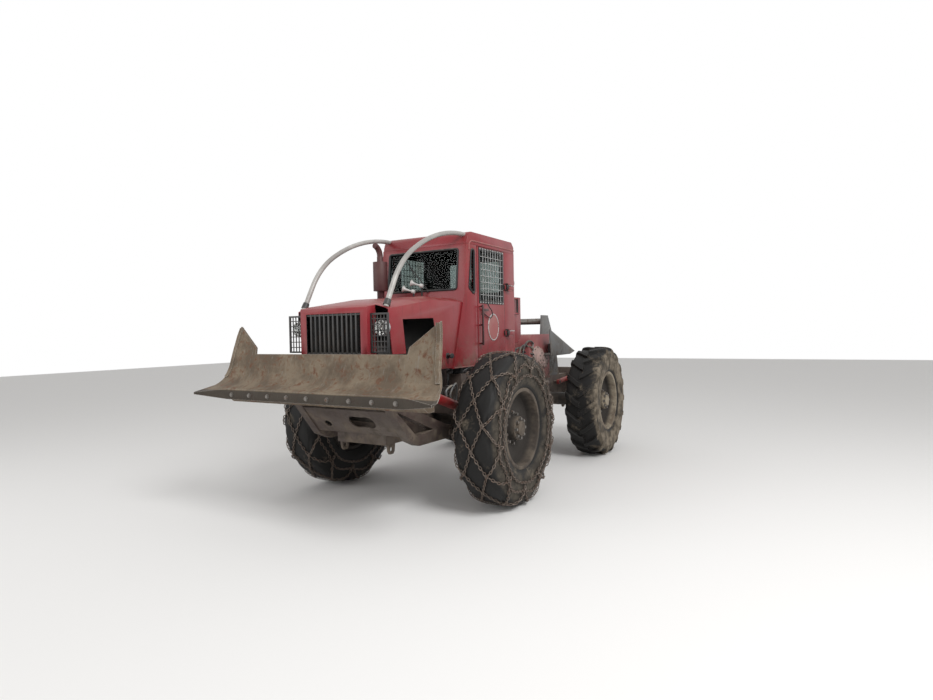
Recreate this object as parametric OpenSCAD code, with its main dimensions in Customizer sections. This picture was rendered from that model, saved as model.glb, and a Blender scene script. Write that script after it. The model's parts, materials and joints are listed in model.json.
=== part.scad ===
// Articulated four-wheel cable skidder, X forward, Y to the left, Z up, millimetres.
// The origin is on the ground under the middle of the whole machine.

/* [Stance] */
// Distance from the front axle to the rear axle
wheelbase = 2840; // [2700:20:3100]
// Distance between the middles of the two tyres on one axle
track = 2200; // [2160:20:2400]
// How far the blade's end bits reach ahead of the front axle
front_reach = 1780; // [1770:10:1900]
// How far the butt plate reaches behind the rear axle
rear_reach = 1060; // [1020:10:1200]

/* [Wheels] */
// Outside radius of a tyre over its lugs
tyre_r = 755; // [720:5:780]
// Width of a tyre
tyre_w = 430; // [400:5:440]
// Height of a tyre lug
lug_h = 38; // [30:1:50]
// Lugs on each half of a tread
lug_count = 12; // [10:1:16]
// Radius of the rim's flange
rim_r = 395; // [370:5:405]
// How far the snow chain stands out from the lugs
chain_h = 22; // [16:1:28]

/* [Frame] */
// Half width over the frame's side plates
frame_half = 300; // [280:5:310]
// Thickness of the frame's side plates
plate_t = 25; // [20:1:30]
// Lower edge of the frame
frame_low = 690; // [670:5:700]
// Top of the frame
frame_top = 1060; // [1050:5:1080]
// Radius of an articulation kingpin
kingpin_r = 38; // [32:1:44]

/* [Cab] */
// Half width of the cab
cab_half = 560; // [540:5:580]
// Underside of the cab floor
cab_low = 1370; // [1350:5:1390]
// Top of the cab walls under the roof
cab_top = 2740; // [2720:5:2780]
// Thickness of the cab walls and doors
cab_wall = 40; // [30:1:45]
// Rise of the roof above the walls
roof_rise = 100; // [80:5:120]
// Gap round a door
door_gap = 10; // [8:1:12]

/* [Hood] */
// Height of the hood at its nose
nose_top = 1990; // [1970:5:2010]
// Height of the hood at the cab
hood_top = 2110; // [2090:5:2130]
// Thickness of the hood's sheet
hood_t = 10; // [6:1:14]
// Number of upright grille bars
grille_bars = 11; // [7:1:13]
// Radius of a brush guard tube
guard_r = 30; // [26:1:34]

/* [Blade] */
// Height of the blade's lip above the ground when raised
lip_z = 1250; // [1240:5:1270]
// Radius of the moldboard's curve
blade_r = 200; // [190:5:210]
// Thickness of the moldboard
blade_t = 20; // [16:1:24]
// Half width of the blade over its end bits
blade_half = 1370; // [1320:10:1400]
// Radius of the push arm pins
arm_pin_r = 35; // [30:1:38]
// Bore radius of a lift cylinder's barrel
lift_r = 30; // [26:1:34]

/* [Winch] */
// Radius of the winch drum's core
drum_r = 110; // [90:5:130]
// Top of the winch housing
winch_top = 1700; // [1680:5:1720]
// Top of the cable arch
arch_top = 1980; // [1940:10:2020]

/* [Hidden] */
$fn = 48;

// Running clearances: a pin in its eye, and a piece that is only seated
pin_fit = 0.4;
seat_fit = 0.3;

front_axle_x = (wheelbase + rear_reach - front_reach) / 2;
rear_axle_x = front_axle_x - wheelbase;
pivot_x = front_axle_x - wheelbase / 2;
rear_axle_z = tyre_r;
front_axle_z = tyre_r + chain_h;
chain_r = tyre_r + chain_h;
carcass_r = tyre_r - lug_h;

module at_front() translate([front_axle_x, 0, 0]) children();
module at_pivot() translate([pivot_x, 0, 0]) children();
module at_rear() translate([rear_axle_x, 0, 0]) children();

module both_sides() {
    children();
    mirror([0, 1, 0]) children();
}

// A box from its lowest to its highest corner
module block(low, high) translate(low) cube(high - low);

// An outline in X and Z, pulled across from y0 to y1
module across(y0, y1) translate([0, y1, 0]) rotate([90, 0, 0]) linear_extrude(y1 - y0) children();

// An outline in Y and Z, pulled along from x0 to x1
module along(x0, x1) translate([x0, 0, 0]) rotate([90, 0, 90]) linear_extrude(x1 - x0) children();

// Round bars along each axis
module bar_y(x, z, y0, y1, r) translate([x, y0, z]) rotate([-90, 0, 0]) cylinder(h = y1 - y0, r = r);
module bar_x(y, z, x0, x1, r) translate([x0, y, z]) rotate([0, 90, 0]) cylinder(h = x1 - x0, r = r);
module bar_z(x, y, z0, z1, r) translate([x, y, z0]) cylinder(h = z1 - z0, r = r);

// A round bar from one point to another in the same XZ plane
module rod_xz(x0, z0, x1, z1, y, r) {
    run = norm([x1 - x0, z1 - z0]);
    translate([x0, y, z0]) rotate([0, 90 - atan2(z1 - z0, x1 - x0), 0]) cylinder(h = run, r = r);
}

function arc(cx, cy, r, a0, a1, n) = [
    for (i = [0 : n]) [cx + r * cos(a0 + (a1 - a0) * i / n), cy + r * sin(a0 + (a1 - a0) * i / n)]];

// Wheels

tread_half = tyre_w / 2;
// Half section of a carcass up to radius r: columns are radius and distance from the tyre's middle
function carcass_line(r) = [
    [rim_r, tread_half - 55], [rim_r + 110, tread_half], [r - 60, tread_half - 4], [r - 8, tread_half - 60]];
module carcass(r) {
    line = carcass_line(r);
    rotate([-90, 0, 0]) rotate_extrude($fn = 20) polygon(concat(
        line, [for (i = [3 : -1 : 0]) [line[i][0], -line[i][1]]]));
}

// One lug: its outline across the tyre, from the middle over the shoulder, then swept back
lug_w = 54;
lug_sweep = 38;
module lug() {
    reach = 1 / cos(lug_sweep);
    rotate([0, 0, lug_sweep]) along(-lug_w / 2, lug_w / 2) polygon([
        [-8, carcass_r - 40], [-8, tyre_r], [(tread_half - 75) * reach, tyre_r - 10],
        [(tread_half - 14) * reach, tyre_r - 90], [(tread_half - 60) * reach, tyre_r - 150]]);
}

// Chevron tread: the two halves are half a pitch apart
module bare_tyre() {
    carcass(carcass_r);
    for (i = [0 : lug_count - 1]) {
        rotate([0, i * 360 / lug_count, 0]) lug();
        rotate([0, (i + 0.5) * 360 / lug_count, 0]) mirror([0, 1, 0]) lug();
    }
}

// Snow chain: forked runs that zigzag between knots round the middle and round both shoulders, and
// a strap from every other shoulder knot down the side. The tyre stands on the flats between the knots.
chain_cells = 10;
chain_w = 24;
chain_lap = 8;
knot_y = 120;
knot_step = 90 / chain_cells;
run_top = chain_r - chain_lap * sin(2 * knot_step);
run_half = run_top * tan(knot_step) + chain_lap;
worn_r = tyre_r - 15;
module chain_fork() {
    crotch = 2 * run_half * chain_w / (2 * knot_y);
    translate([0, 0, worn_r - 25]) linear_extrude(run_top - worn_r + 25) polygon([
        [-run_half, -chain_w / 2], [-run_half, chain_w / 2], [run_half, knot_y + chain_w / 2],
        [run_half, knot_y - chain_w / 2], [crotch - run_half, 0], [run_half, chain_w / 2 - knot_y],
        [run_half, -knot_y - chain_w / 2]]);
}
module chain_strap() along(-10, 10) polygon([
    [knot_y, worn_r - 30], [knot_y, run_top - 2], [tread_half + 8, worn_r - 50],
    [tread_half + 13, rim_r + 110], [tread_half - 25, rim_r + 125], [tread_half - 40, worn_r - 70]]);

module chained_tyre() {
    carcass(worn_r);
    for (i = [0 : chain_cells - 1]) {
        rotate([0, 4 * i * knot_step, 0]) chain_fork();
        rotate([0, (4 * i + 2) * knot_step, 0]) mirror([1, 0, 0]) chain_fork();
        if (i % 2 == 0) rotate([0, (4 * i + 1) * knot_step, 0]) both_sides() chain_strap();
    }
}

// Rim, disc and hub, with the wheel's outer side at +Y
disc_y = 40;
rim_t = 22;
hub_r = 150;
hub_in = track / 2 - 170;
module rim() {
    rotate([-90, 0, 0]) rotate_extrude($fn = 48) polygon([
        [rim_r - seat_fit, -tread_half + 55], [rim_r - seat_fit, tread_half - 55],
        [rim_r + 12, tread_half - 47], [rim_r + 12, tread_half - 36], [rim_r - 25, tread_half - 36],
        [rim_r - 40, disc_y + 10], [hub_r + 40, disc_y + 10], [hub_r + 40, disc_y - rim_t],
        [rim_r - 40, disc_y - rim_t], [rim_r - 40, -tread_half + 55]]);
    bar_y(0, 0, -170 + pin_fit, disc_y, hub_r - 8);
    bar_y(0, 0, disc_y - rim_t, disc_y + 10, hub_r + 42);
    bar_y(0, 0, disc_y, disc_y + 95, hub_r - 30);
    bar_y(0, 0, disc_y + 90, disc_y + 125, hub_r - 75);
}

module place_wheel(x, z, side) translate([x, side * track / 2, z]) mirror([0, side > 0 ? 0 : 1, 0]) children();

module tyre_fl() color("dimgray") place_wheel(front_axle_x, front_axle_z, 1) chained_tyre();
module tyre_fr() color("dimgray") place_wheel(front_axle_x, front_axle_z, -1) chained_tyre();
module tyre_rl() color("dimgray") place_wheel(rear_axle_x, rear_axle_z, 1) bare_tyre();
module tyre_rr() color("dimgray") place_wheel(rear_axle_x, rear_axle_z, -1) bare_tyre();
module rim_fl() color("tan") place_wheel(front_axle_x, front_axle_z, 1) rim();
module rim_fr() color("tan") place_wheel(front_axle_x, front_axle_z, -1) rim();
module rim_rl() color("tan") place_wheel(rear_axle_x, rear_axle_z, 1) rim();
module rim_rr() color("tan") place_wheel(rear_axle_x, rear_axle_z, -1) rim();

// An axle housing with its flanges and its swelling in the middle
banjo_r = 175;
tube_r = 90;
trunnion_x = 195;
module axle_housing(z) {
    translate([0, 0, z]) {
        rotate([-90, 0, 0]) rotate_extrude($fn = 48) polygon([
            [0, -hub_in], [130, -hub_in], [130, -hub_in + 30], [tube_r, -hub_in + 60], [tube_r, -250],
            [banjo_r - 30, -150], [banjo_r, -70], [banjo_r, 70], [banjo_r - 30, 150],
            [tube_r, 250], [tube_r, hub_in - 60], [130, hub_in - 30], [130, hub_in], [0, hub_in]]);
        bar_x(0, 0, -trunnion_x, trunnion_x, 75);
    }
}
module front_axle() color("dimgray") at_front() axle_housing(front_axle_z);
module rear_axle() color("dimgray") at_rear() axle_housing(rear_axle_z);

// Articulation

lug_r = 95;
frame_heel = frame_low - 70;
front_tail = 240;
neck_half = 150;
neck_end = 500;
rear_nose = 200;
upper_z = frame_top - 80;
lower_z = frame_low + 60;
fork_t = 30;
fork_gap = 50;
tongue_t = 40;
cylinder_z = (upper_z + lower_z) / 2 - 10;

// One pair of round-ended fork plates with its kingpin, reaching back from the front frame
module fork(z) {
    for (dz = [-fork_gap / 2 - fork_t, fork_gap / 2]) translate([0, 0, z + dz]) {
        cylinder(h = fork_t, r = lug_r);
        translate([0, -lug_r, 0]) cube([front_tail + 1, 2 * lug_r, fork_t]);
    }
    bar_z(0, 0, z - fork_gap / 2 - fork_t - 15, z + fork_gap / 2 + fork_t + 15, kingpin_r);
}

// The single tongue of the rear frame that sits in a fork
module tongue(z) {
    translate([0, 0, z - tongue_t / 2]) difference() {
        union() {
            cylinder(h = tongue_t, r = lug_r);
            translate([-rear_nose, -lug_r, 0]) cube([rear_nose, 2 * lug_r, tongue_t]);
        }
        translate([0, 0, -1]) cylinder(h = tongue_t + 2, r = kingpin_r + pin_fit);
    }
}

// Front frame

nose_front = front_reach - 460;
nose_x = nose_front - 360;
shelf_z = 1215;
shelf_back = nose_front - 160;
shelf_front = nose_front - 30;
shelf_drop = 65;
engine_low = 870;
notch_half = 130;
deck_end = 60;
arm_x = 280;
arm_z = 740;
arm_in = 505;
arm_out = 595;
lift_x = 130;
lift_z = 965;
lift_y = 650;
mount_half = 430;
mount_r = 55;
cab_mount_h = 70;
beam_z = cab_low - cab_mount_h;
cab_mount_x = [-150, 290 - wheelbase / 2];
steer_anchor_x = 760;
steer_y = 400;
steer_eye_x = -250;
steer_eye_y = 360;
steer_pin_r = 22;
steer_eye_r = 48;
steer_eye_h = 44;

module front_side_plate() {
    tail = -wheelbase / 2 + neck_end;
    across(frame_half - plate_t, frame_half) polygon([
        [tail, frame_low], [tail, frame_top], [nose_x - 60, frame_top], [shelf_back - 30, shelf_z],
        [shelf_front, shelf_z], [shelf_front, shelf_z - shelf_drop], [shelf_back, shelf_z - shelf_drop],
        [nose_x, frame_top - 80], [nose_x, frame_low], [notch_half, frame_low],
        [notch_half, front_axle_z + 115], [-notch_half, front_axle_z + 115], [-notch_half, frame_low]]);
}

// Ears that hold a steering cylinder's eye from above and below
module steer_ears(x, out) {
    for (dz = [-steer_eye_h / 2 - 6 - 16, steer_eye_h / 2 + 6])
        translate([x, 0, cylinder_z + dz]) {
            translate([-50, frame_half - 1, 0]) cube([100, out - frame_half + 1, 16]);
            translate([0, out, 0]) cylinder(h = 16, r = 50);
        }
}

module front_chassis() color("saddlebrown") at_front() {
    inner = frame_half - plate_t;
    tail = -wheelbase / 2 + front_tail;
    both_sides() {
        front_side_plate();
        block([arm_x - 65, inner, frame_low], [arm_x + 65, arm_in - 8, arm_z + 50]);
        bar_y(arm_x, arm_z, arm_in - 20, arm_out + 14, arm_pin_r);
        block([lift_x - 60, inner, front_axle_z + 130], [lift_x + 60, lift_y - 60, lift_z + 55]);
        bar_y(lift_x, lift_z, lift_y - 61, lift_y + 42, 25);
        for (x = cab_mount_x) {
            block([x - 60, neck_half - plate_t, frame_top - 120], [x + 60, mount_half + 80, frame_top]);
            block([x - 60, mount_half - 70, frame_top - 1], [x + 60, mount_half + 80, beam_z]);
        }
        translate([-wheelbase / 2, 0, 0]) {
            steer_ears(steer_anchor_x, steer_y);
            bar_z(steer_anchor_x, steer_y, cylinder_z - 40, cylinder_z + 40, steer_pin_r);
        }
    }
    for (side = [-1, 1])
        block([side * (trunnion_x + 15) - 15, -inner, frame_low], [side * (trunnion_x + 15) + 15, inner, frame_top]);
    shoulder = -wheelbase / 2 + neck_end;
    block([shoulder, -inner, frame_low], [shoulder + 25, inner, frame_top]);
    block([shoulder, -inner, frame_top - 25], [-trunnion_x - 20, inner, frame_top]);
    both_sides() block([tail, neck_half - plate_t, frame_low], [shoulder + 1, neck_half, frame_top]);
    block([tail, -neck_half, frame_low], [tail + 25, neck_half, frame_top]);
    block([tail, -neck_half, frame_top - 25], [shoulder + 1, neck_half, frame_top]);
    block([nose_x - 25, -inner, frame_low], [nose_x, inner, engine_low + 30]);
    block([trunnion_x, -inner, engine_low - 40], [trunnion_x + 150, inner, engine_low]);
    block([shelf_back, -inner, shelf_z - shelf_drop], [shelf_front, inner, shelf_z - shelf_drop + 20]);
    translate([-wheelbase / 2, 0, 0]) {
        fork(upper_z);
        fork(lower_z);
    }
}

// Tie-down tabs under the side plates, each with a shackle's bore

tie_bore_r = 25;
tie_drop = 50;
tie_front_x = nose_x - 90;
tie_rear_x = 250 - rear_reach;
module tie_downs(x, low) both_sides() difference() {
    across(frame_half - plate_t, frame_half) polygon([
        [x - 55, low - seat_fit], [x - 45, low - tie_drop - 20], [x - 25, low - tie_drop - 45],
        [x + 25, low - tie_drop - 45], [x + 45, low - tie_drop - 20], [x + 55, low - seat_fit]]);
    bar_y(x, low - tie_drop, frame_half - plate_t - 1, frame_half + 1, tie_bore_r);
}
module tie_downs_front() color("saddlebrown") at_front() tie_downs(tie_front_x, frame_low);
module tie_downs_rear() color("saddlebrown") at_rear() tie_downs(tie_rear_x, frame_heel);

// Engine and cooling

engine_half = 230;
engine_back = 320;
engine_front = nose_x - 60;
block_top = 1500;
engine_top = 1700;
radiator_half = 330;
radiator_back = nose_front - 150;
radiator_front = nose_front - 50;
crank_z = engine_low + 260;
fan_z = 1450;
fan_r = 270;
fan_x = (engine_front + 40 + radiator_back) / 2;
// Round fittings on the engine's flanks: X, Y, lowest, highest, radius
engine_cans = [[410, 285, 1180, 1400, 48], [520, 285, 1180, 1400, 48], [760, 290, 1120, 1330, 62],
               [480, -285, 1110, 1290, 58], [700, -290, 1200, 1420, 45]];
module engine() color("dimgray") at_front() {
    block([engine_back, -engine_half, engine_low + 110], [engine_front, engine_half, block_top]);
    block([engine_back, -engine_half + 40, engine_low], [engine_front - 60, engine_half - 40, engine_low + 111]);
    // Rocker cover with a rounded top
    bar_x(0, block_top + 90, engine_back + 70, engine_front - 50, 110);
    block([engine_back + 60, -engine_half + 80, block_top], [engine_front - 40, engine_half - 80, block_top + 95]);
    // Head ribs down both flanks
    both_sides() for (x = [engine_back + 50 : 95 : engine_front - 60])
        block([x, engine_half - 1, block_top - 260], [x + 34, engine_half + 14, block_top - 20]);
    for (can = engine_cans) {
        bar_z(can[0], can[1], can[2], can[3], can[4]);
        bar_y(can[0], (can[2] + can[3]) / 2, min(can[1], 0), max(can[1], 0), 18);
    }
    // Manifold on the right under the exhaust, with a branch from each head rib
    bar_x(-engine_half + 5, block_top + 26, engine_back + 50, engine_front - 70, 32);
    // Front cover, crank pulley and the fan on its hub
    block([engine_front, -engine_half + 40, engine_low + 30 + seat_fit],
          [engine_front + 40, engine_half - 40, block_top - 50]);
    bar_x(0, crank_z, engine_front + 39, engine_front + 80, 90);
    bar_x(0, fan_z, engine_front + 39, fan_x + 20, 42);
    bar_x(0, fan_z, engine_front + 50, engine_front + 75, 75);
    for (i = [0 : 5]) translate([fan_x, 0, fan_z]) rotate([i * 60, 0, 0]) rotate([0, 0, 32])
        block([-3, -45, 30], [3, 45, fan_r]);
}

module radiator() color("black") at_front() {
    block([radiator_back, -radiator_half, shelf_z + seat_fit], [radiator_front, radiator_half, nose_top - 60]);
}

// Hood: columns are X, half width of the top, height of the top, half width of the side, shoulder height

hood_half = 550;
shoulder_x = nose_front - 120;
hood_end = -120;
hood_stations = [
    [shoulder_x, 430, nose_top + 18, hood_half, nose_top - 20],
    [500, 430, hood_top, hood_half, hood_top - 40],
    [hood_end, 430, hood_top, hood_half, hood_top - 40]];
side_low = 1560;
skirt_low = cab_low + 10;
skirt_x = 400;
leg_w = 205;

module hood_slice(s, inset, x) translate([x, 0, 0]) rotate([90, 0, 90]) linear_extrude(1) polygon([
    [-s[3] + inset, skirt_low - 2 * inset], [-s[3] + inset, s[4] - inset], [-s[1] + inset, s[2] - inset],
    [s[1] - inset, s[2] - inset], [s[3] - inset, s[4] - inset], [s[3] - inset, skirt_low - 2 * inset]]);

// The hood's whole body, inset all round and lengthened at both ends
module hood_mass(inset, over) {
    hull() {
        hood_slice(hood_stations[0], inset, shoulder_x - 1 + over);
        hood_slice(hood_stations[1], inset, hood_stations[1][0]);
    }
    hull() {
        hood_slice(hood_stations[1], inset, hood_stations[1][0]);
        hood_slice(hood_stations[2], inset, hood_end - over);
    }
}

nose_half = 400;
grille_half = 325;
grille_high = nose_top - 55;
grille_low = 1560;

module hood() color("firebrick") at_front() {
    difference() {
        hood_mass(0, 0);
        hood_mass(hood_t, 10);
        both_sides() across(hood_half - 30, hood_half + 10) polygon([
            [shoulder_x - leg_w - 45, side_low - 10], [shoulder_x - leg_w, nose_top - 115],
            [skirt_x + 90, hood_top - 218], [skirt_x, side_low - 10]]);
        block([skirt_x, -600, skirt_low - 50], [nose_front, 600, side_low]);
        across(-600, 600) polygon([
            [shoulder_x + 1, side_low - 1], [shoulder_x + 1, nose_top - 90],
            [shoulder_x - 45, side_low], [shoulder_x - 45, side_low - 1]]);
        cab_front_mask();
    }
    // Nose box round the grille
    difference() {
        across(-nose_half, nose_half) polygon([
            [shoulder_x - 5, grille_low - 40], [nose_front, grille_low - 40], [nose_front, nose_top - 8],
            [nose_front - 8, nose_top], [shoulder_x - 5, nose_top + 17]]);
        across(-nose_half + hood_t, nose_half - hood_t) polygon([
            [shoulder_x - 6, grille_low - 30], [nose_front - hood_t, grille_low - 30],
            [nose_front - hood_t, nose_top - 18], [shoulder_x - 6, nose_top + 4]]);
        block([nose_front - 30, -grille_half, grille_low], [nose_front + 1, grille_half, grille_high]);
        block([shoulder_x - 6, -radiator_half - seat_fit, grille_low - 50],
              [radiator_front + 5, radiator_half + seat_fit, grille_low]);
    }
}

module grille() color("black") at_front() {
    rail = 16;
    x0 = nose_front - 28;
    x1 = nose_front - 2;
    pitch = 2 * grille_half / (grille_bars + 1);
    for (z = [grille_low + 4, grille_high - rail - 4])
        block([x0, -grille_half + seat_fit, z], [x0 + rail + 6, grille_half - seat_fit, z + rail]);
    for (i = [1 : grille_bars])
        block([x0 + 4, -grille_half + i * pitch - 9, grille_low + seat_fit],
              [x1, -grille_half + i * pitch + 9, grille_high - seat_fit]);
}

// Mesh guards over the headlamps, one at each side of the nose

lamp_low = 1575;
lamp_high = 1930;
lamp_y = 500;
lamp_z = 1800;
lamp_r = 70;
module lamp_guards() color("black") at_front() both_sides() {
    y0 = nose_half + seat_fit;
    y1 = 600;
    x0 = nose_front - 60;
    for (z = [lamp_low, lamp_high - 16]) block([x0, y0, z], [x0 + 16, y1, z + 16]);
    for (y = [y0, y1 - 16]) block([x0, y, lamp_low], [x0 + 16, y + 16, lamp_high]);
    for (i = [1 : 4]) block([x0 + 4, y0 + i * (y1 - y0 - 16) / 5, lamp_low], [x0 + 12, y0 + i * (y1 - y0 - 16) / 5 + 8, lamp_high]);
    for (i = [1 : 6]) block([x0 + 4, y0, lamp_low + i * 50], [x0 + 12, y1, lamp_low + i * 50 + 8]);
}

module headlamps() color("silver") at_front() both_sides() {
    bar_x(lamp_y, lamp_z, shoulder_x + 2, shoulder_x + 50, lamp_r);
    bar_x(lamp_y, lamp_z, shoulder_x - 40, shoulder_x + 2, lamp_r - 35);
    block([shoulder_x + 5, nose_half + seat_fit, lamp_z - 15], [shoulder_x + 30, lamp_y - 40, lamp_z + 15]);
}

// Brush guard tubes: a straight foot, a tight bend and a long easy bend to the roof, sleeved together

guard_y = 500;
guard_lean = 62;
bend_tight = 850;
bend_easy = 1800;
bend_split = 32;
sleeve_half = 24;
guard_end = [shoulder_x - 1400, cab_top + roof_rise - 34];

// Part of a ring of tube whose plane is XZ; angles run from the X axis towards Z
module tube_arc(cx, cz, big, a0, a1, y, r) translate([cx, y, cz]) rotate([90, 0, 0])
    rotate([0, 0, a0]) rotate_extrude(angle = a1 - a0, $fn = 288) translate([big, 0]) circle(r = r);

// A short sleeve over a joint of the tube; lean is the tube's fall from level there
module tube_sleeve(x, z, lean) rod_xz(
    x - sleeve_half * cos(lean), z + sleeve_half * sin(lean),
    x + sleeve_half * cos(lean), z - sleeve_half * sin(lean), guard_y, guard_r + 4);

module brush_tube() {
    cz = guard_end[1] - bend_easy;
    x1 = guard_end[0] + bend_easy * sin(bend_split);
    z1 = cz + bend_easy * cos(bend_split);
    cx2 = x1 - bend_tight * sin(bend_split);
    cz2 = z1 - bend_tight * cos(bend_split);
    x2 = cx2 + bend_tight * sin(guard_lean);
    z2 = cz2 + bend_tight * cos(guard_lean);
    foot_z = nose_top - 60;
    // The stretches stop short of one another inside their sleeves
    stop = sleeve_half / 2;
    easy_stop = stop / bend_easy * 180 / PI;
    tight_stop = stop / bend_tight * 180 / PI;
    tube_arc(guard_end[0], cz, bend_easy, 90 - bend_split + easy_stop, 94, guard_y, guard_r);
    tube_arc(cx2, cz2, bend_tight, 90 - guard_lean + tight_stop, 90 - bend_split - tight_stop, guard_y, guard_r);
    rod_xz(x2 + (z2 - foot_z) / tan(guard_lean), foot_z, x2 + stop * cos(guard_lean),
           z2 - stop * sin(guard_lean), guard_y, guard_r);
    tube_sleeve(x1, z1, bend_split);
    tube_sleeve(x2, z2, guard_lean);
}

// Everything under the hood's sloping shoulders
module under_shoulders() {
    nose_station = hood_stations[0];
    slope = atan2(hood_stations[1][2] - nose_station[2], nose_station[0] - hood_stations[1][0]);
    fall = (nose_station[2] - nose_station[4]) * cos(slope);
    translate([nose_station[0], 0, nose_station[2] + seat_fit]) rotate([0, slope, 0])
        along(-400, 60) polygon([
            [-nose_station[1], 0], [-hood_half, -fall], [-hood_half, -200],
            [hood_half, -200], [hood_half, -fall], [nose_station[1], 0]]);
}

// The tubes end on the hood's shoulders and on the roof's brow
module brush_guards() color("lightgray") at_front() both_sides() difference() {
    brush_tube();
    under_shoulders();
    roof_mass(seat_fit);
}

// Cab

// Side outline of the cab in X and Z, front leaning back
front_low = 140;
screen_x = -110;
screen_z = 2180;
brow_x = -170;
cab_rear = -1330;
function cab_outline(d) = [
    [cab_rear + d, cab_low + d], [front_low - d, cab_low + d], [screen_x - d, screen_z],
    [brow_x - d, cab_top - d], [cab_rear + d, cab_top - d]];

// Space in front of the cab's front wall, to trim the hood
module cab_front_mask() across(-700, 700) polygon([
    [front_low + seat_fit, cab_low], [screen_x + seat_fit, screen_z], [brow_x + seat_fit, cab_top],
    [cab_rear, cab_top], [cab_rear, cab_low]]);

door_front = -380;
door_rear = -1060;
door_low = cab_low + 80;
door_high = cab_top - cab_wall;
window_low = door_low + 645;
window_high = door_high - 40;
window_front = door_front - 75;
window_rear = door_rear + 60;
screen_half = 460;
screen_low = screen_z + 30;
screen_high = cab_top - 90;
rear_window_half = 380;
rear_window_low = screen_z + 50;
rear_window_high = cab_top - 100;
glass_t = 8;
loop_run = 150;
loop_r = 13;

module door_hole() block([door_rear, cab_half - cab_wall - 20, door_low], [door_front, cab_half + 20, door_high]);

// Quarter window in front of the door, its sides at least d inside their opening
module quarter_outline(d) polygon([
    [-265 - d, screen_high - d], [-205 - 2 * d, window_low + 135 + d],
    [-330 + d, window_low + 55 + 2 * d], [-330 + d, screen_high - d]]);

module cab_body() color("firebrick") at_front() {
    difference() {
        across(-cab_half, cab_half) polygon(cab_outline(0));
        across(-cab_half + cab_wall, cab_half - cab_wall) polygon(cab_outline(cab_wall));
        both_sides() {
            door_hole();
            across(cab_half - cab_wall - 20, cab_half + 20) quarter_outline(0);
        }
        // Windscreen opening, cut square to the leaning front
        block([-300, -screen_half, screen_low], [100, screen_half, screen_high]);
        // Rear window
        block([cab_rear - 20, -rear_window_half, rear_window_low],
              [cab_rear + cab_wall + 20, rear_window_half, rear_window_high]);
        // The roof's seat
        block([-2000, -700, cab_top - cab_wall], [300, 700, cab_top + 200]);
    }
    // Hinge pins held by a lug above and one below each door strap
    both_sides() for (z = hinge_levels) {
        bar_z(hinge_x, cab_half + hinge_out, z - 45, z + 45, hinge_pin_r);
        for (dz = [-45, 31])
            block([hinge_x - 90, cab_half - 1, z + dz], [hinge_x + 14, cab_half + hinge_out + 14, z + dz + 14]);
        block([cab_rear + 25, cab_half - 1, z - 24], [hinge_x - 60, cab_half + 12, z + 24]);
    }
    // Grab loop behind the left rear corner
    for (z = [screen_z - 210, screen_z - 20]) bar_x(cab_half - 28, z, cab_rear - loop_run, cab_rear + 5, loop_r);
    bar_z(cab_rear - loop_run, cab_half - 28, screen_z - 210 - loop_r, screen_z - 20 + loop_r, loop_r + 1);
}

// Roof with rounded front brow, on the walls; d grows its outline
roof_z0 = cab_top - cab_wall + seat_fit;
brow_r = 90;
module roof_mass(d) across(-cab_half, cab_half) polygon(concat(
    [[cab_rear - d, roof_z0 - d], [brow_x - 4 + d, roof_z0 - d], [brow_x - 8 + d, roof_z0 + 30]],
    arc(brow_x - 110, cab_top + roof_rise - brow_r, brow_r + d, 20, 90, 6),
    [[cab_rear + 60, cab_top + roof_rise + d], [cab_rear - d, cab_top + roof_rise - 60]]));

module cab_roof() color("firebrick") at_front() {
    z0 = roof_z0;
    difference() {
        roof_mass(0);
        across(-cab_half + cab_wall, cab_half - cab_wall) polygon([
            [cab_rear + cab_wall, z0 - 1], [brow_x - 60, z0 - 1], [brow_x - 100, z0 + 60],
            [cab_rear + 90, z0 + 80], [cab_rear + cab_wall, z0 + 40]]);
    }
}

module cab_glass() color("lightblue", 0.4) at_front() {
    // Windscreen, leaning with the front wall
    lean = (screen_x - brow_x) / (cab_top - screen_z);
    intersection() {
        across(-screen_half + seat_fit, screen_half - seat_fit) polygon([
            [screen_x - 12, screen_z], [screen_x - 12 - glass_t, screen_z],
            [brow_x - 12 - glass_t, cab_top], [brow_x - 12, cab_top]]);
        block([-400, -500, screen_low + seat_fit], [100, 500, screen_high - seat_fit]);
    }
    both_sides() across(cab_half - 24, cab_half - 24 + glass_t) quarter_outline(seat_fit);
    block([cab_rear + 14, -rear_window_half + seat_fit, rear_window_low + seat_fit],
          [cab_rear + 14 + glass_t, rear_window_half - seat_fit, rear_window_high - seat_fit]);
}

module cab_mounts() color("black") at_front() both_sides() for (x = cab_mount_x)
    bar_z(x, mount_half, beam_z, cab_low, mount_r);

module seat() color("black") at_front() {
    floor_z = cab_low + cab_wall;
    block([-1000, -170, floor_z], [-700, 170, floor_z + 330]);
    block([-1080, -240, floor_z + 330], [-590, 240, floor_z + 450]);
    across(-240, 240) polygon([
        [-1080, floor_z + 440], [-960, floor_z + 440], [-1040, floor_z + 980], [-1140, floor_z + 980]]);
}

module console() color("black") at_front() {
    floor_z = cab_low + cab_wall;
    block([-260, -300, floor_z], [-130, 300, floor_z + 690]);
    rod_xz(-250, floor_z + 570, -420, floor_z + 720, 0, 22);
    translate([-425, 0, floor_z + 725]) rotate([0, -48, 0]) {
        rotate_extrude($fn = 32) translate([190, 0]) circle(r = 14, $fn = 14);
        for (a = [90, 210, 330]) rotate([0, 0, a]) rotate([0, 90, 0]) cylinder(h = 190, r = 8);
        cylinder(h = 40, r = 35, center = true);
    }
}

// Doors, hinged at their rear edge

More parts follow.
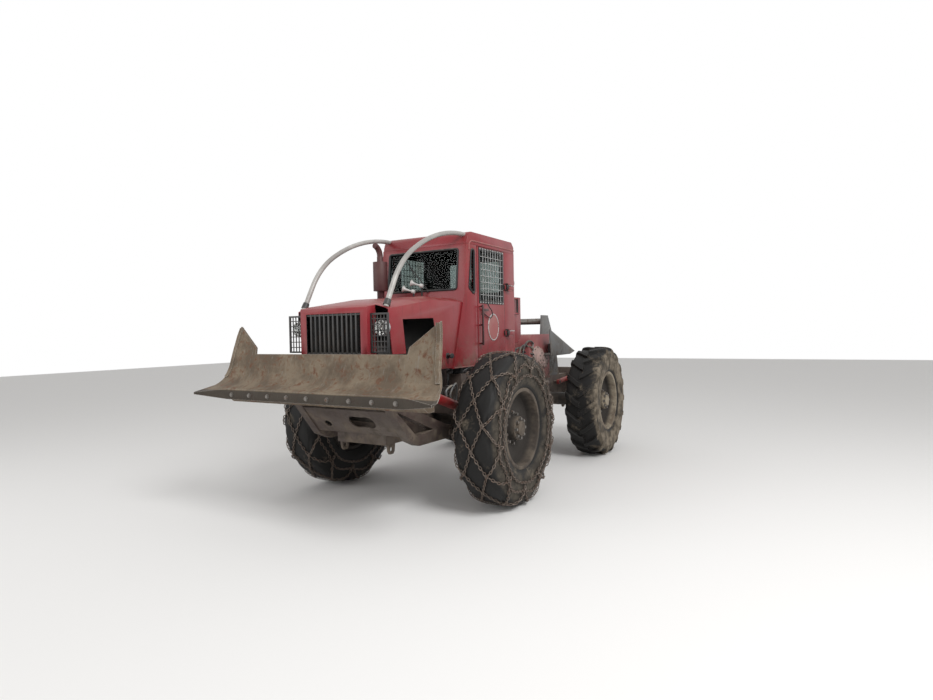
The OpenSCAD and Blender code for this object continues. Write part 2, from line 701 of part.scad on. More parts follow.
hinge_x = door_rear - 25;
hinge_out = 30;
hinge_levels = [door_low + 280, door_high - 420];
hinge_pin_r = 10;
strap_end = window_rear - 34;
rail_x = door_front - 45;
rail_out = 48;
rail_low = door_low + 150;
rail_high = window_low - 45;
rail_r = 12;
handle_x = door_front - 110;
handle_z = door_low + 545;
module door_panel() {
    difference() {
        block([door_rear + 5, cab_half - cab_wall, door_low + 5], [door_front - door_gap, cab_half, door_high - 5]);
        across(cab_half - cab_wall - 20, cab_half + 20) polygon([
            [window_rear, window_low], [window_front, window_low],
            [window_front, window_high], [window_rear, window_high]]);
    }
    // Hinge straps with their eyes
    for (z = hinge_levels) {
        difference() {
            union() {
                block([hinge_x, cab_half + 8, z - 25], [strap_end, cab_half + 20, z + 25]);
                bar_z(hinge_x, cab_half + hinge_out, z - 25, z + 25, 22);
            }
            bar_z(hinge_x, cab_half + hinge_out, z - 26, z + 26, hinge_pin_r + pin_fit);
        }
        block([door_rear + 7, cab_half - 5, z - 25], [strap_end, cab_half + 9, z + 25]);
    }
    // Grab rail near the front edge, on three posts, and the latch handle
    bar_z(rail_x, cab_half + rail_out, rail_low, rail_high, rail_r);
    for (z = [rail_low + 20, (rail_low + rail_high) / 2, rail_high - 20])
        bar_y(rail_x, z, cab_half - 5, cab_half + rail_out, rail_r - 2);
    bar_y(handle_x, handle_z, cab_half - 5, cab_half + 28, 16);
    block([handle_x - 110, cab_half + 18, handle_z - 12], [handle_x + 16, cab_half + 30, handle_z + 12]);
}

module door_pane() across(cab_half - 26, cab_half - 26 + glass_t) polygon([
    [window_rear + seat_fit, window_low + seat_fit], [window_front - seat_fit, window_low + seat_fit],
    [window_front - seat_fit, window_high - seat_fit], [window_rear + seat_fit, window_high - seat_fit]]);

// Wire guard over a door's window: a flat frame on the door's skin and a grid of square wires
guard_rail = 26;
guard_t = 6;
guard_wires = 8;
guard_rungs = 7;
wire = 6;
module door_guard() {
    y0 = cab_half + seat_fit;
    y1 = y0 + guard_t;
    x0 = window_rear - 2;
    x1 = window_front + 2;
    z0 = window_low - 2;
    z1 = window_high + 2;
    for (x = [x0 - guard_rail, x1]) block([x, y0, z0 - guard_rail], [x + guard_rail, y1, z1 + guard_rail]);
    for (z = [z0 - guard_rail, z1]) block([x0 - 1, y0, z], [x1 + 1, y1, z + guard_rail]);
    for (i = [1 : guard_wires]) let (x = x0 + i * (x1 - x0) / (guard_wires + 1))
        block([x - wire / 2, y1 - 1, z0 - guard_rail / 2], [x + wire / 2, y1 + wire - 1, z1 + guard_rail / 2]);
    for (i = [1 : guard_rungs]) let (z = z0 + i * (z1 - z0) / (guard_rungs + 1))
        block([x0 - guard_rail / 2, y1 - wire / 2 - 1, z - wire / 2],
              [x1 + guard_rail / 2, y1 + wire / 2 - 1, z + wire / 2]);
}
module door_left_guard() color("black") at_front() door_guard();
module door_right_guard() color("black") at_front() mirror([0, 1, 0]) door_guard();

module door_left() color("firebrick") at_front() door_panel();
module door_right() color("firebrick") at_front() mirror([0, 1, 0]) door_panel();
module door_left_glass() color("lightblue", 0.4) at_front() door_pane();
module door_right_glass() color("lightblue", 0.4) at_front() mirror([0, 1, 0]) door_pane();

// Exhaust on the right of the hood

exhaust_y = 385;
muffler_top = hood_top + 430;
module exhaust() color("dimgray") at_front() {
    bar_z(120, -exhaust_y, hood_top + seat_fit, hood_top + 120, 40);
    bar_z(120, -exhaust_y, hood_top + 110, muffler_top, 80);
    bar_z(120, -exhaust_y, muffler_top - 10, muffler_top + 60, 35);
    translate([120, -exhaust_y, muffler_top + 60]) mirror([1, 0, 0]) translate([-120, 0, 0])
        rotate([90, 0, 0]) rotate_extrude(angle = 75, $fn = 64) translate([120, 0]) circle(r = 32, $fn = 24);
}

tank_half = 500;
tank_low = cab_low + 230;
tank_rear = cab_rear - 310;
module rear_tank() color("firebrick") at_front() {
    across(-tank_half, tank_half) polygon([
        [cab_rear - seat_fit, tank_low], [tank_rear + 80, tank_low], [tank_rear, tank_low + 80],
        [tank_rear, screen_z], [cab_rear - seat_fit, screen_z]]);
}

module steps() color("dimgray") at_front() both_sides() {
    y0 = mount_half + 80 + seat_fit;
    x0 = cab_mount_x[1] - 50;
    block([x0, y0, 740], [x0 + 100, y0 + 12, beam_z - 40]);
    block([x0, y0, 740], [x0 + 280, 790, 760]);
    block([x0, y0, 1050], [x0 + 280, 700, 1070]);
    for (x = [x0, x0 + 268]) block([x, y0, 740], [x + 12, y0 + 60, 1070]);
}

// Blade and its carrier

lip_slope = 17;
face_lean = 75;
end_bit_run = 110;
end_drop = end_bit_run * tan(lip_slope);
lip_run = 70;
lip_x = front_reach - end_bit_run;
bend_x = lip_x - lip_run * cos(lip_slope);
bend_z = lip_z + lip_run * sin(lip_slope);
curve_x = bend_x + blade_r * sin(lip_slope);
curve_z = bend_z + blade_r * cos(lip_slope);
ear_z = 1840;
blade_top = 1570;

// A line along the moldboard, d behind its face: lip, bend, top
function face_line(d) = concat(
    [[curve_x - (blade_r + d) * sin(lip_slope) + (lip_run + end_bit_run + 40) * cos(lip_slope),
      curve_z - (blade_r + d) * cos(lip_slope) - (lip_run + end_bit_run + 40) * sin(lip_slope)]],
    arc(curve_x, curve_z, blade_r + d, -90 - lip_slope, -90 - face_lean, 8),
    [[curve_x - (blade_r + d) * sin(face_lean) - 480 * cos(face_lean),
      curve_z - (blade_r + d) * cos(face_lean) + 480 * sin(face_lean)]]);
function backwards(list) = [for (i = [len(list) - 1 : -1 : 0]) list[i]];

ear_half = blade_half - 180;
module blade_front_view() polygon(concat(
    [[0, blade_top], [905, blade_top], [915, blade_top + 60], [ear_half, ear_z], [ear_half + 20, ear_z - 90],
     [ear_half + 40, ear_z - 250], [ear_half + 50, ear_z - 390], [ear_half + 80, ear_z - 490],
     [ear_half + 110, ear_z - 570], [blade_half, lip_z - 30], [blade_half, 1100], [0, 1100]]));

beam_x0 = lip_x - 260;
beam_x1 = lip_x - 170;
beam_z0 = lip_z - 140;
beam_z1 = lip_z - 50;
beam_half = 1150;

module moldboard() intersection() {
    across(-blade_half, blade_half) polygon(concat(face_line(0), backwards(face_line(blade_t))));
    along(lip_x - 500, front_reach + 50) union() {
        blade_front_view();
        mirror([1, 0]) blade_front_view();
    }
    linear_extrude(3000) polygon([
        [lip_x - 500, -blade_half], [front_reach, -blade_half], [lip_x, -blade_half + end_run],
        [lip_x, blade_half - end_run], [front_reach, blade_half], [lip_x - 500, blade_half]]);
}

// Wear band under the lip, tapering out along both end bits
band_h = 98;
band_t = 26;
end_run = 340;
module wear_band() intersection() {
    linear_extrude(lip_z + 100) polygon([
        [front_reach, -blade_half], [lip_x, -blade_half + end_run], [lip_x, blade_half - end_run],
        [front_reach, blade_half], [front_reach - band_t, blade_half], [lip_x - band_t, blade_half - end_run],
        [lip_x - band_t, -blade_half + end_run], [front_reach - band_t, -blade_half]]);
    along(lip_x - 100, front_reach + 50) polygon([
        [-blade_half + end_run, lip_z - band_h], [-blade_half, lip_z - end_drop - 20], [-blade_half, lip_z + 60],
        [blade_half, lip_z + 60], [blade_half, lip_z - end_drop - 20], [blade_half - end_run, lip_z - band_h]]);
    across(-blade_half, blade_half) polygon([
        [lip_x - 60, lip_z + 60 * tan(lip_slope) - 2], [front_reach + 40, lip_z - (end_bit_run + 40) * tan(lip_slope) - 2],
        [front_reach + 40, lip_z - 200], [lip_x - 60, lip_z - 200]]);
}

// Pale strips up the front edges of both ears
strip_w = 42;
strip_t = 12;
module ear_strips() intersection() {
    across(-blade_half, blade_half) polygon(concat(face_line(-strip_t), backwards(face_line(2))));
    both_sides() along(lip_x - 500, lip_x - 20) polygon([
        [ear_half, ear_z - 12], [ear_half + 19, ear_z - 90], [ear_half + 39, ear_z - 250],
        [ear_half + 49, ear_z - 390], [ear_half + 79, ear_z - 490], [ear_half + 79 - strip_w, ear_z - 490],
        [ear_half + 49 - strip_w, ear_z - 390], [ear_half + 39 - strip_w, ear_z - 250],
        [ear_half + 19 - strip_w, ear_z - 90], [ear_half - strip_w, ear_z - 12]]);
}

// Upright ribs behind the moldboard
module blade_rib(y) across(y - 8, y + 8) polygon(concat(
    arc(curve_x, curve_z, blade_r + blade_t - 6, -90 - lip_slope - 8, -90 - face_lean, 4),
    [[curve_x - (blade_r + blade_t - 6) * sin(face_lean) - 130 * cos(face_lean),
      curve_z - (blade_r + blade_t) * cos(face_lean) + 130 * sin(face_lean)],
     [beam_x0 - 4, beam_z1 + 200], [beam_x0 - 4, beam_z1 - 10], [beam_x1, beam_z1 - 10]]));

module blade() color("peru") at_front() {
    moldboard();
    wear_band();
    ear_strips();
    for (y = [-950, -320, 320, 950]) blade_rib(y);
    // Box section from the lip down to the cross beam
    across(-beam_half, beam_half) polygon([
        [lip_x - 6, lip_z - 19], [beam_x1, beam_z0], [beam_x0, beam_z0], [beam_x0, beam_z1],
        [beam_x1 - 30, beam_z1], [lip_x - 60, lip_z - 3]]);
    // Ears for the lift rods
    both_sides() for (y = [lift_y - 45, lift_y + 31]) across(y, y + 14) polygon([
        [eye_x - 45, eye_z + 45], [eye_x - 45, eye_z - 45], [lip_x - 135, eye_z - 70],
        [lip_x - 194, eye_z + 5], [lip_x - 217, eye_z + 80]]);
}

arm_mid = (arm_in + arm_out) / 2;
arm_eye_r = 75;
eye_x = lip_x - 320;
eye_z = lip_z + 110;
plate_up = [beam_x0 - 214, lip_z - 196];
plate_down = [beam_x0 - 425, arm_z + 62];
plate_w = 14;
// The plate's own frame: X up its slope from the lower edge, Y across, Z out of its upper face
plate_rise = atan2(plate_up[1] - plate_down[1], plate_up[0] - plate_down[0]);
plate_run = norm(plate_up - plate_down);
module plate_frame() translate([plate_down[0], 0, plate_down[1]]) rotate([0, -plate_rise, 0]) children();
module blade_arms() color("saddlebrown") at_front() {
    both_sides() difference() {
        union() {
            across(arm_in, arm_out) polygon([
                [arm_x, arm_z - 55], [plate_down[0] - 150, arm_z - 50], [plate_down[0], plate_down[1] - 48],
                [plate_up[0] + 40, beam_z0 - 45], [beam_x0 - seat_fit, beam_z0], [beam_x0 - seat_fit, beam_z1],
                [beam_x0 - 60, beam_z1], [arm_x, arm_z + 62]]);
            bar_y(arm_x, arm_z, arm_in, arm_out, arm_eye_r);
        }
        bar_y(arm_x, arm_z, arm_in - 1, arm_out + 1, arm_pin_r + pin_fit);
        // The window between the upper and lower branches
        across(arm_in - 1, arm_out + 1) polygon([
            [plate_down[0] - 400, arm_z + 70], [plate_down[0] - 115, arm_z + 45], [plate_up[0] - 20, beam_z0 - 60]]);
    }
    plate_frame() difference() {
        block([0, -arm_in - 1, -plate_w], [plate_run, arm_in + 1, 0]);
        for (y = [60, 210]) translate([plate_run / 2, y, -plate_w - 1]) cylinder(h = plate_w + 2, r = 78);
        block([plate_run / 2 - 72, 60, -plate_w - 1], [plate_run / 2 + 72, 210, 1]);
        translate([plate_run * 0.34, -318, -plate_w - 1]) cylinder(h = plate_w + 2, r = 42);
    }
}

// Lift cylinders: barrels swing on the frame, rods run to the moldboard's back

lift_run = norm([eye_x - lift_x, eye_z - lift_z]);
lift_tilt = atan2(eye_z - lift_z, eye_x - lift_x);
barrel_run = 560;
module lift_frame() translate([lift_x, lift_y, lift_z]) rotate([0, -lift_tilt, 0]) children();

module lift_barrels() color("firebrick") at_front() both_sides() lift_frame() difference() {
    union() {
        translate([40, 0, 0]) rotate([0, 90, 0]) cylinder(h = barrel_run - 40, r = lift_r + 18);
        translate([0, -30, 0]) rotate([-90, 0, 0]) cylinder(h = 60, r = 50);
    }
    translate([0, -31, 0]) rotate([-90, 0, 0]) cylinder(h = 62, r = 25 + pin_fit);
    translate([90, 0, 0]) rotate([0, 90, 0]) cylinder(h = barrel_run, r = lift_r + pin_fit);
}

module lift_rods() color("silver") at_front() both_sides() lift_frame() {
    translate([330, 0, 0]) rotate([0, 90, 0]) cylinder(h = 60, r = lift_r);
    translate([330, 0, 0]) rotate([0, 90, 0]) cylinder(h = lift_run - 330 - 30, r = 22);
    translate([lift_run, -25, 0]) rotate([-90, 0, 0]) cylinder(h = 50, r = 40);
}

// Steering cylinders

steer_run = norm([steer_anchor_x - steer_eye_x, steer_y - steer_eye_y]);
steer_turn = atan2(steer_eye_y - steer_y, steer_eye_x - steer_anchor_x);
barrel_end = 636;
piston_at = 336;
module steer_frame() translate([steer_anchor_x, steer_y, cylinder_z]) rotate([0, 0, steer_turn]) children();
module steer_barrel() steer_frame() difference() {
    union() {
        translate([30, 0, 0]) rotate([0, 90, 0]) cylinder(h = 40, r = 26);
        translate([60, 0, 0]) rotate([0, 90, 0]) cylinder(h = barrel_end - 60, r = 42);
        translate([0, 0, -steer_eye_h / 2]) cylinder(h = steer_eye_h, r = steer_eye_r);
    }
    translate([0, 0, -60]) cylinder(h = 120, r = steer_pin_r + pin_fit);
    translate([75, 0, 0]) rotate([0, 90, 0]) cylinder(h = barrel_end, r = 28 + pin_fit);
}
module steer_rod() steer_frame() {
    translate([piston_at, 0, 0]) rotate([0, 90, 0]) cylinder(h = 40, r = 28);
    translate([piston_at, 0, 0]) rotate([0, 90, 0]) cylinder(h = steer_run - piston_at - 20, r = 20);
    translate([steer_run, 0, -steer_eye_h / 2]) cylinder(h = steer_eye_h, r = steer_eye_r - 4);
}
module steer_barrel_left() color("firebrick") at_pivot() steer_barrel();
module steer_barrel_right() color("firebrick") at_pivot() mirror([0, 1, 0]) steer_barrel();
module steer_rod_left() color("silver") at_pivot() steer_rod();
module steer_rod_right() color("silver") at_pivot() mirror([0, 1, 0]) steer_rod();

// Rear frame, X from the rear axle

rear_front = wheelbase / 2 - rear_nose;
rear_end = -rear_reach + 120;
rear_top = frame_top;
module rear_side_plate() across(frame_half - plate_t, frame_half) polygon([
    [rear_front, frame_low], [rear_front, rear_top], [rear_end, rear_top], [rear_end, frame_heel],
    [rear_end + 200, frame_heel], [rear_end + 350, frame_low], [-notch_half, frame_low],
    [-notch_half, rear_axle_z + 115], [notch_half, rear_axle_z + 115], [notch_half, frame_low]]);

module rear_chassis() color("saddlebrown") at_rear() {
    inner = frame_half - plate_t;
    both_sides() {
        rear_side_plate();
        translate([wheelbase / 2, 0, 0]) steer_ears(steer_eye_x, steer_eye_y);
        bar_y(butt_x, butt_z, frame_half - 1, frame_half + 100, butt_pin_r);
        bar_y(butt_top_x, butt_top_z, frame_half - 1, frame_half + 100, 20);
    }
    for (side = [-1, 1])
        block([side * (trunnion_x + 15) - 15, -inner, frame_low], [side * (trunnion_x + 15) + 15, inner, rear_top]);
    block([rear_front - 25, -inner, frame_low], [rear_front, inner, rear_top]);
    block([rear_end, -inner, rear_top - 25], [rear_front, inner, rear_top]);
    block([rear_end, -inner, frame_heel], [rear_end + 25, inner, rear_top]);
    translate([wheelbase / 2, 0, 0]) {
        tongue(upper_z);
        tongue(lower_z);
    }
}

winch_x0 = 60;
winch_x1 = 780;
winch_half = 420;
cover_x = 520;
cover_z = winch_top - 330;
cover_r = 135;
module winch_housing() color("indianred") at_rear() {
    across(-winch_half, winch_half) polygon(concat(
        [[winch_x0, rear_top + seat_fit], [winch_x1, rear_top + seat_fit]],
        arc(winch_x1 - 150, winch_top - 150, 150, 0, 90, 6),
        [[winch_x0, winch_top]]));
    both_sides() {
        bar_y(cover_x, cover_z, winch_half - 1, winch_half + 60, cover_r);
        bar_y(cover_x, cover_z, winch_half + 59, winch_half + 78, cover_r - 45);
        bar_y(cover_x, cover_z, winch_half - 1, winch_half + 18, cover_r + 28);
        bar_y(cover_x - 240, cover_z - 60, winch_half - 1, winch_half + 30, 85);
    }
}

drum_x = -150;
arch_in = frame_half - 30;
drum_z = 1330;
module winch_drums() color("gray") at_rear() {
    bar_y(drum_x, drum_z, -arch_in + seat_fit, arch_in - seat_fit, drum_r);
    for (y = [-arch_in + seat_fit, -10, arch_in - seat_fit - 20]) bar_y(drum_x, drum_z, y, y + 20, drum_r + 70);
}

module cable_arch() color("dimgray") at_rear() both_sides() {
    across(arch_in, frame_half) polygon([
        [winch_x0 - seat_fit, rear_top + seat_fit], [winch_x0 - seat_fit, 1660], [winch_x0 - 40, arch_top],
        [-200, arch_top], [-520, 1450], [-620, rear_top + seat_fit]]);
}
module arch_rollers() color("gray") at_rear() {
    bar_y(-120, arch_top - 90, -arch_in + seat_fit, arch_in - seat_fit, 45);
    bar_y(-330, 1560, -arch_in + seat_fit, arch_in - seat_fit, 45);
}

side_plate_y = 560;
side_plate_low = winch_top - 310;
module side_plates() color("slategray") at_rear() both_sides() {
    across(side_plate_y, side_plate_y + 15) polygon([
        [winch_x0 + 340, winch_top + 70], [winch_x0 + 290, side_plate_low],
        [winch_x0 - 450, side_plate_low], [winch_x0 - 660, side_plate_low + 40]]);
    block([winch_x0 + 30, winch_half + seat_fit, side_plate_low + 10],
          [winch_x0 + 290, side_plate_y + 1, side_plate_low + 40]);
    block([winch_x0 + 30, winch_half + seat_fit, side_plate_low + 10],
          [winch_x0 + 50, side_plate_y + 1, side_plate_low + 170]);
}

// Butt plate: hinged low on the rear frame, held by a cylinder at each side

butt_x = rear_end + 150;
butt_z = 760;
butt_pin_r = 30;
butt_arm_y = 330;
butt_eye_x = rear_end - 30;
butt_eye_z = 1000;
butt_top_x = butt_x + 360;
butt_top_z = 960;
butt_cyl_y = 365;
butt_half = 880;
butt_low = 560;
butt_high = 1150;
module butt_plate() color("saddlebrown") at_rear() {
    across(-butt_half, butt_half) polygon([
        [rear_end - 65, butt_low], [rear_end - 65, butt_high], [-rear_reach, butt_high],
        [-rear_reach, butt_low + 80], [rear_end - 85, butt_low]]);
    both_sides() difference() {
        union() {
            across(butt_arm_y, butt_arm_y + 55) polygon([
                [butt_x, butt_z - 50], [butt_x, butt_z + 50], [rear_end - 66, butt_z + 90], [rear_end - 66, butt_z - 90]]);
            bar_y(butt_x, butt_z, butt_arm_y, butt_arm_y + 55, 55);
        }
        bar_y(butt_x, butt_z, butt_arm_y - 1, butt_arm_y + 56, butt_pin_r + pin_fit);
    }
    both_sides() for (y = [butt_cyl_y - 38, butt_cyl_y + 26]) block(
        [rear_end - 66, y, butt_eye_z - 40], [butt_eye_x + 35, y + 12, butt_eye_z + 40]);
}

butt_run = norm([butt_top_x - butt_eye_x, butt_eye_z - butt_top_z]);
butt_tilt = atan2(butt_eye_z - butt_top_z, butt_top_x - butt_eye_x);
module butt_frame() translate([butt_top_x, butt_cyl_y, butt_top_z]) rotate([0, 180 + butt_tilt, 0]) children();
module butt_barrels() color("firebrick") at_rear() both_sides() butt_frame() difference() {
    union() {
        translate([25, 0, 0]) rotate([0, 90, 0]) cylinder(h = 345, r = 36);
        translate([0, -20, 0]) rotate([-90, 0, 0]) cylinder(h = 40, r = 38);
    }
    translate([0, -21, 0]) rotate([-90, 0, 0]) cylinder(h = 42, r = 20 + pin_fit);
    translate([60, 0, 0]) rotate([0, 90, 0]) cylinder(h = 400, r = 24 + pin_fit);
}
module butt_rods() color("silver") at_rear() both_sides() butt_frame() {
    translate([120, 0, 0]) rotate([0, 90, 0]) cylinder(h = 30, r = 24);
    translate([120, 0, 0]) rotate([0, 90, 0]) cylinder(h = butt_run - 120 - 15, r = 16);
    translate([butt_run, -18, 0]) rotate([-90, 0, 0]) cylinder(h = 36, r = 26);
}

front_chassis();
front_axle();
engine();
radiator();
hood();
grille();
lamp_guards();
headlamps();
brush_guards();
cab_mounts();
cab_body();
cab_roof();
cab_glass();
seat();
console();
exhaust();
rear_tank();
steps();
tie_downs_front();
blade();
blade_arms();
lift_barrels();
lift_rods();
door_left();
door_left_glass();
door_left_guard();
door_right();
door_right_glass();
door_right_guard();
steer_barrel_left();
steer_rod_left();
steer_barrel_right();
steer_rod_right();
rear_chassis();
rear_axle();
tie_downs_rear();
winch_housing();
winch_drums();
cable_arch();
arch_rollers();
side_plates();
butt_plate();
butt_barrels();
butt_rods();
tyre_fl();
rim_fl();
tyre_fr();
rim_fr();
tyre_rl();
rim_rl();
tyre_rr();
rim_rr();
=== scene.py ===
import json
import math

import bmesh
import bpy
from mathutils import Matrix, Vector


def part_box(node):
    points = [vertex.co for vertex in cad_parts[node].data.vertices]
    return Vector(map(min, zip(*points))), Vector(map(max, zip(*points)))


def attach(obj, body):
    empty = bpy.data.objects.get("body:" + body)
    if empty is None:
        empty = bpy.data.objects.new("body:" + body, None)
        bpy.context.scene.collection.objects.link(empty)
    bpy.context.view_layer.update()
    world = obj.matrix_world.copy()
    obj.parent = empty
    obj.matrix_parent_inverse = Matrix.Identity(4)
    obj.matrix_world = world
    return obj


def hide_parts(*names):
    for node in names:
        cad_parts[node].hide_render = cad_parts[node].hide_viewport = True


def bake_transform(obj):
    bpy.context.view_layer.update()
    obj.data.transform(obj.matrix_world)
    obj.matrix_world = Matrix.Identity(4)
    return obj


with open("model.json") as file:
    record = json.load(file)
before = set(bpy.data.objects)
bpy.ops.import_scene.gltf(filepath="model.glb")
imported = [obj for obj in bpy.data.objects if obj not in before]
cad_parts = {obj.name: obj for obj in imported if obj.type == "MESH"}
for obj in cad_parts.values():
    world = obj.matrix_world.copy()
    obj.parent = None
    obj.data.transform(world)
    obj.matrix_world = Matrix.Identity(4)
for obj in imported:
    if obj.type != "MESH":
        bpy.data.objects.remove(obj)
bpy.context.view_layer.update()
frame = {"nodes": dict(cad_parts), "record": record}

# %% [markdown]
# This scene dresses a small articulated forest tractor, the kind that pulls
# logs out of the woods with a winch.  The CAD model gives every rigid form and
# the joints.  Here those forms get their edges rounded, and everything that a
# drawing office leaves out: mud, bleached paint, hoses, wire, bolts and glass.
# All sizes are metres in the machine's own frame: X forward, Y left, Z up.

nodes = frame["nodes"]
bodies = frame["record"]["behaviour"]["bodies"]
body_of_node = {node: body for body, members in bodies.items() for node in members}


def placed(name, data):
    """A new object at the origin that holds a mesh, a lamp or a camera."""
    thing = bpy.data.objects.new(name, data)
    bpy.context.scene.collection.objects.link(thing)
    return thing


# %% [markdown]
# The photograph was taken from the front left, a little above the wheels, with
# a moderately wide lens.  Its position was solved from points whose places are
# known on the machine: wheel centres, cab corners and the blade's tips.  The
# turn is built from three unit vectors, because a camera looks along its own
# minus Z with its own Y upwards.

# %% Camera at the photograph's place
PHOTO_W = 933
CAMERA_PLACE = Vector((6.481, 3.797, 1.746))
CAMERA_YAW, CAMERA_PITCH, CAMERA_ROLL = map(math.radians, (210.244, -1.696, -1.002))
FOCAL_PIXELS = 599.2

camera_data = bpy.data.cameras.new("photo_camera")
camera_data.sensor_fit = "HORIZONTAL"
camera_data.sensor_width = 36.0
camera_data.lens = FOCAL_PIXELS * camera_data.sensor_width / PHOTO_W
camera = placed("photo_camera", camera_data)

look = Vector((
    math.cos(CAMERA_PITCH) * math.cos(CAMERA_YAW),
    math.cos(CAMERA_PITCH) * math.sin(CAMERA_YAW),
    math.sin(CAMERA_PITCH),
))
level_right = Vector((math.sin(CAMERA_YAW), -math.cos(CAMERA_YAW), 0.0))
level_up = level_right.cross(look)
right = math.cos(CAMERA_ROLL) * level_right + math.sin(CAMERA_ROLL) * level_up
up = -math.sin(CAMERA_ROLL) * level_right + math.cos(CAMERA_ROLL) * level_up
turn = Matrix((right, up, -look)).transposed().to_4x4()
camera.matrix_world = Matrix.Translation(CAMERA_PLACE) @ turn
bpy.context.scene.camera = camera
print("lens", round(camera_data.lens, 2), "mm")

# %% [markdown]
# Materials, repeats and the studio's light are all node trees.  Blender's own
# calls need a line for each node, switch and link, which hides the idea.  Here
# "step" adds a node, sets its switches and feeds its inputs from values or
# from other nodes, so that one line is one step.

# %% A small workshop for node trees
class NodeTree:
    def __init__(self, tree):
        self.tree = tree
        tree.nodes.clear()

    def step(self, kind, settings=None, **links):
        """Adds a node; each link is an input's name with _ for a space, and its value or source."""
        node = self.tree.nodes.new(kind)
        for key, value in (settings or {}).items():
            setattr(node, key, value)
        for label, source in links.items():
            self.join(source, node.inputs[label.replace("_", " ")])
        return node

    def join(self, source, socket):
        if isinstance(source, bpy.types.NodeSocket):
            self.tree.links.new(source, socket)
        elif isinstance(source, (tuple, list)) and len(source) == 3 < len(socket.default_value):
            socket.default_value = (*source, 1.0)
        else:
            socket.default_value = source

    def math(self, kind, a, b=0.0, clamped=False):
        node = self.step("ShaderNodeMath", {"operation": kind, "use_clamp": clamped})
        self.join(a, node.inputs[0])
        self.join(b, node.inputs[1])
        return node.outputs[0]


print("node workshop ready:", [name for name in vars(NodeTree) if name[0] != "_"])

# %% [markdown]
# A finish on a working machine is many layers, and each layer needs a mask
# that says where it lies: noise for patches, height for mud, the surface's
# direction for dust, rounded normals for rubbed edges.  Every pattern reads
# Object coordinates, so it is fixed to the piece and keeps its scale in metres
# whatever the camera does.

# %% Masks and layers for materials
class Finish(NodeTree):
    """One procedural material: a Principled shader and the masks that feed it."""

    def __init__(self, name, roughness=0.6, metallic=0.0):
        self.material = bpy.data.materials.new(name)
        self.material.use_nodes = True
        super().__init__(self.material.node_tree)
        self.shader = self.step("ShaderNodeBsdfPrincipled", Roughness=roughness, Metallic=metallic)
        self.step("ShaderNodeOutputMaterial", Surface=self.shader.outputs[0])
        self.place = self.step("ShaderNodeTexCoord").outputs["Object"]

    def stretched(self, x, y, z):
        """Object coordinates scaled on each axis, for streaks and brushing."""
        return self.step("ShaderNodeMapping", Vector=self.place, Scale=(x, y, z)).outputs[0]

    def noise(self, scale, detail=4.0, rough=0.55, place=None, warp=0.0):
        return self.step("ShaderNodeTexNoise", Vector=place or self.place, Scale=scale, Detail=detail,
                         Roughness=rough, Distortion=warp).outputs["Fac"]

    def band(self, value, low, high, to_low=0.0, to_high=1.0):
        """Stretches a value so that low..high becomes to_low..to_high."""
        return self.step("ShaderNodeMapRange", {"interpolation_type": "SMOOTHSTEP"}, Value=value,
                         From_Min=low, From_Max=high, To_Min=to_low, To_Max=to_high).outputs[0]

    def patches(self, low, high, scale, *how, **more):
        """Soft patches of noise: 0 where it is below low, 1 where it is above high."""
        return self.band(self.noise(scale, *how, **more), low, high)

    def axis(self, letter, normal=False):
        """One coordinate of the piece's own place, or of the surface's direction."""
        source = self.step("ShaderNodeNewGeometry").outputs["Normal"] if normal else self.place
        return self.step("ShaderNodeSeparateXYZ", Vector=source).outputs[letter]

    def height(self, low, high):
        """1 at and below low, 0 at and above high, from the piece's own Z."""
        return self.band(self.axis("Z"), low, high, 1.0, 0.0)

    def facing_up(self, low=0.4, high=0.95):
        """1 where the surface faces the sky, which is where dust settles."""
        return self.band(self.axis("Z", True), low, high)

    def edges(self, radius=0.006, low=0.02, high=0.25):
        """1 along outer and inner edges: where a rounded normal leaves the flat one."""
        rounded = self.step("ShaderNodeBevel", {"samples": 4}, Radius=radius)
        likeness = self.step("ShaderNodeVectorMath", {"operation": "DOT_PRODUCT"})
        self.join(rounded.outputs[0], likeness.inputs[0])
        self.join(self.step("ShaderNodeNewGeometry").outputs["Normal"], likeness.inputs[1])
        return self.band(likeness.outputs["Value"], 1.0 - high, 1.0 - low, 1.0, 0.0)

    def outboard(self, low, high):
        """1 further from the machine's middle plane than high, 0 nearer than low."""
        return self.band(self.math("ABSOLUTE", self.axis("Y")), low, high)

    def painted_shade_faces(self, middle_x):
        """1 on faces that look in towards the middle plane, towards middle_x, or down: the mask for painted
        shade inside and under the panels.
        """
        across = self.math("MULTIPLY", self.axis("Y"), self.axis("Y", True))
        ahead = self.math("MULTIPLY", self.math("SUBTRACT", self.axis("X"), middle_x), self.axis("X", True))
        down = self.math("MULTIPLY", self.axis("Z", True), 0.25)
        least = self.math("MINIMUM", self.math("MINIMUM", across, ahead), down)
        return self.band(least, -0.20, -0.12, 1.0, 0.0)

    def times(self, a, b):
        """Two masks together, or a mask made weaker by a number."""
        return self.math("MULTIPLY", a, b, True)

    def most(self, a, b):
        return self.math("MAXIMUM", a, b, True)

    def mix(self, mask, under, over):
        """The colour over laid on the colour under where the mask is 1."""
        node = self.step("ShaderNodeMix", {"data_type": "RGBA"}, Factor=mask, A=under, B=over)
        return node.outputs["Result"]

    def blend_value(self, mask, under, over):
        return self.step("ShaderNodeMix", Factor=mask, A=under, B=over).outputs["Result"]

    def colour(self, value):
        self.join(value, self.shader.inputs["Base Color"])

    def roughness(self, value):
        self.join(value, self.shader.inputs["Roughness"])

    def metallic(self, value):
        self.join(value, self.shader.inputs["Metallic"])

    def bump(self, height, distance, strength=0.6, under=None):
        node = self.step("ShaderNodeBump", Height=height, Distance=distance, Strength=strength)
        if under is not None:
            self.join(under, node.inputs["Normal"])
        self.join(node.outputs[0], self.shader.inputs["Normal"])
        return node.outputs[0]


print("masks and layers:", ", ".join(name for name in vars(Finish) if not name.startswith("_")))

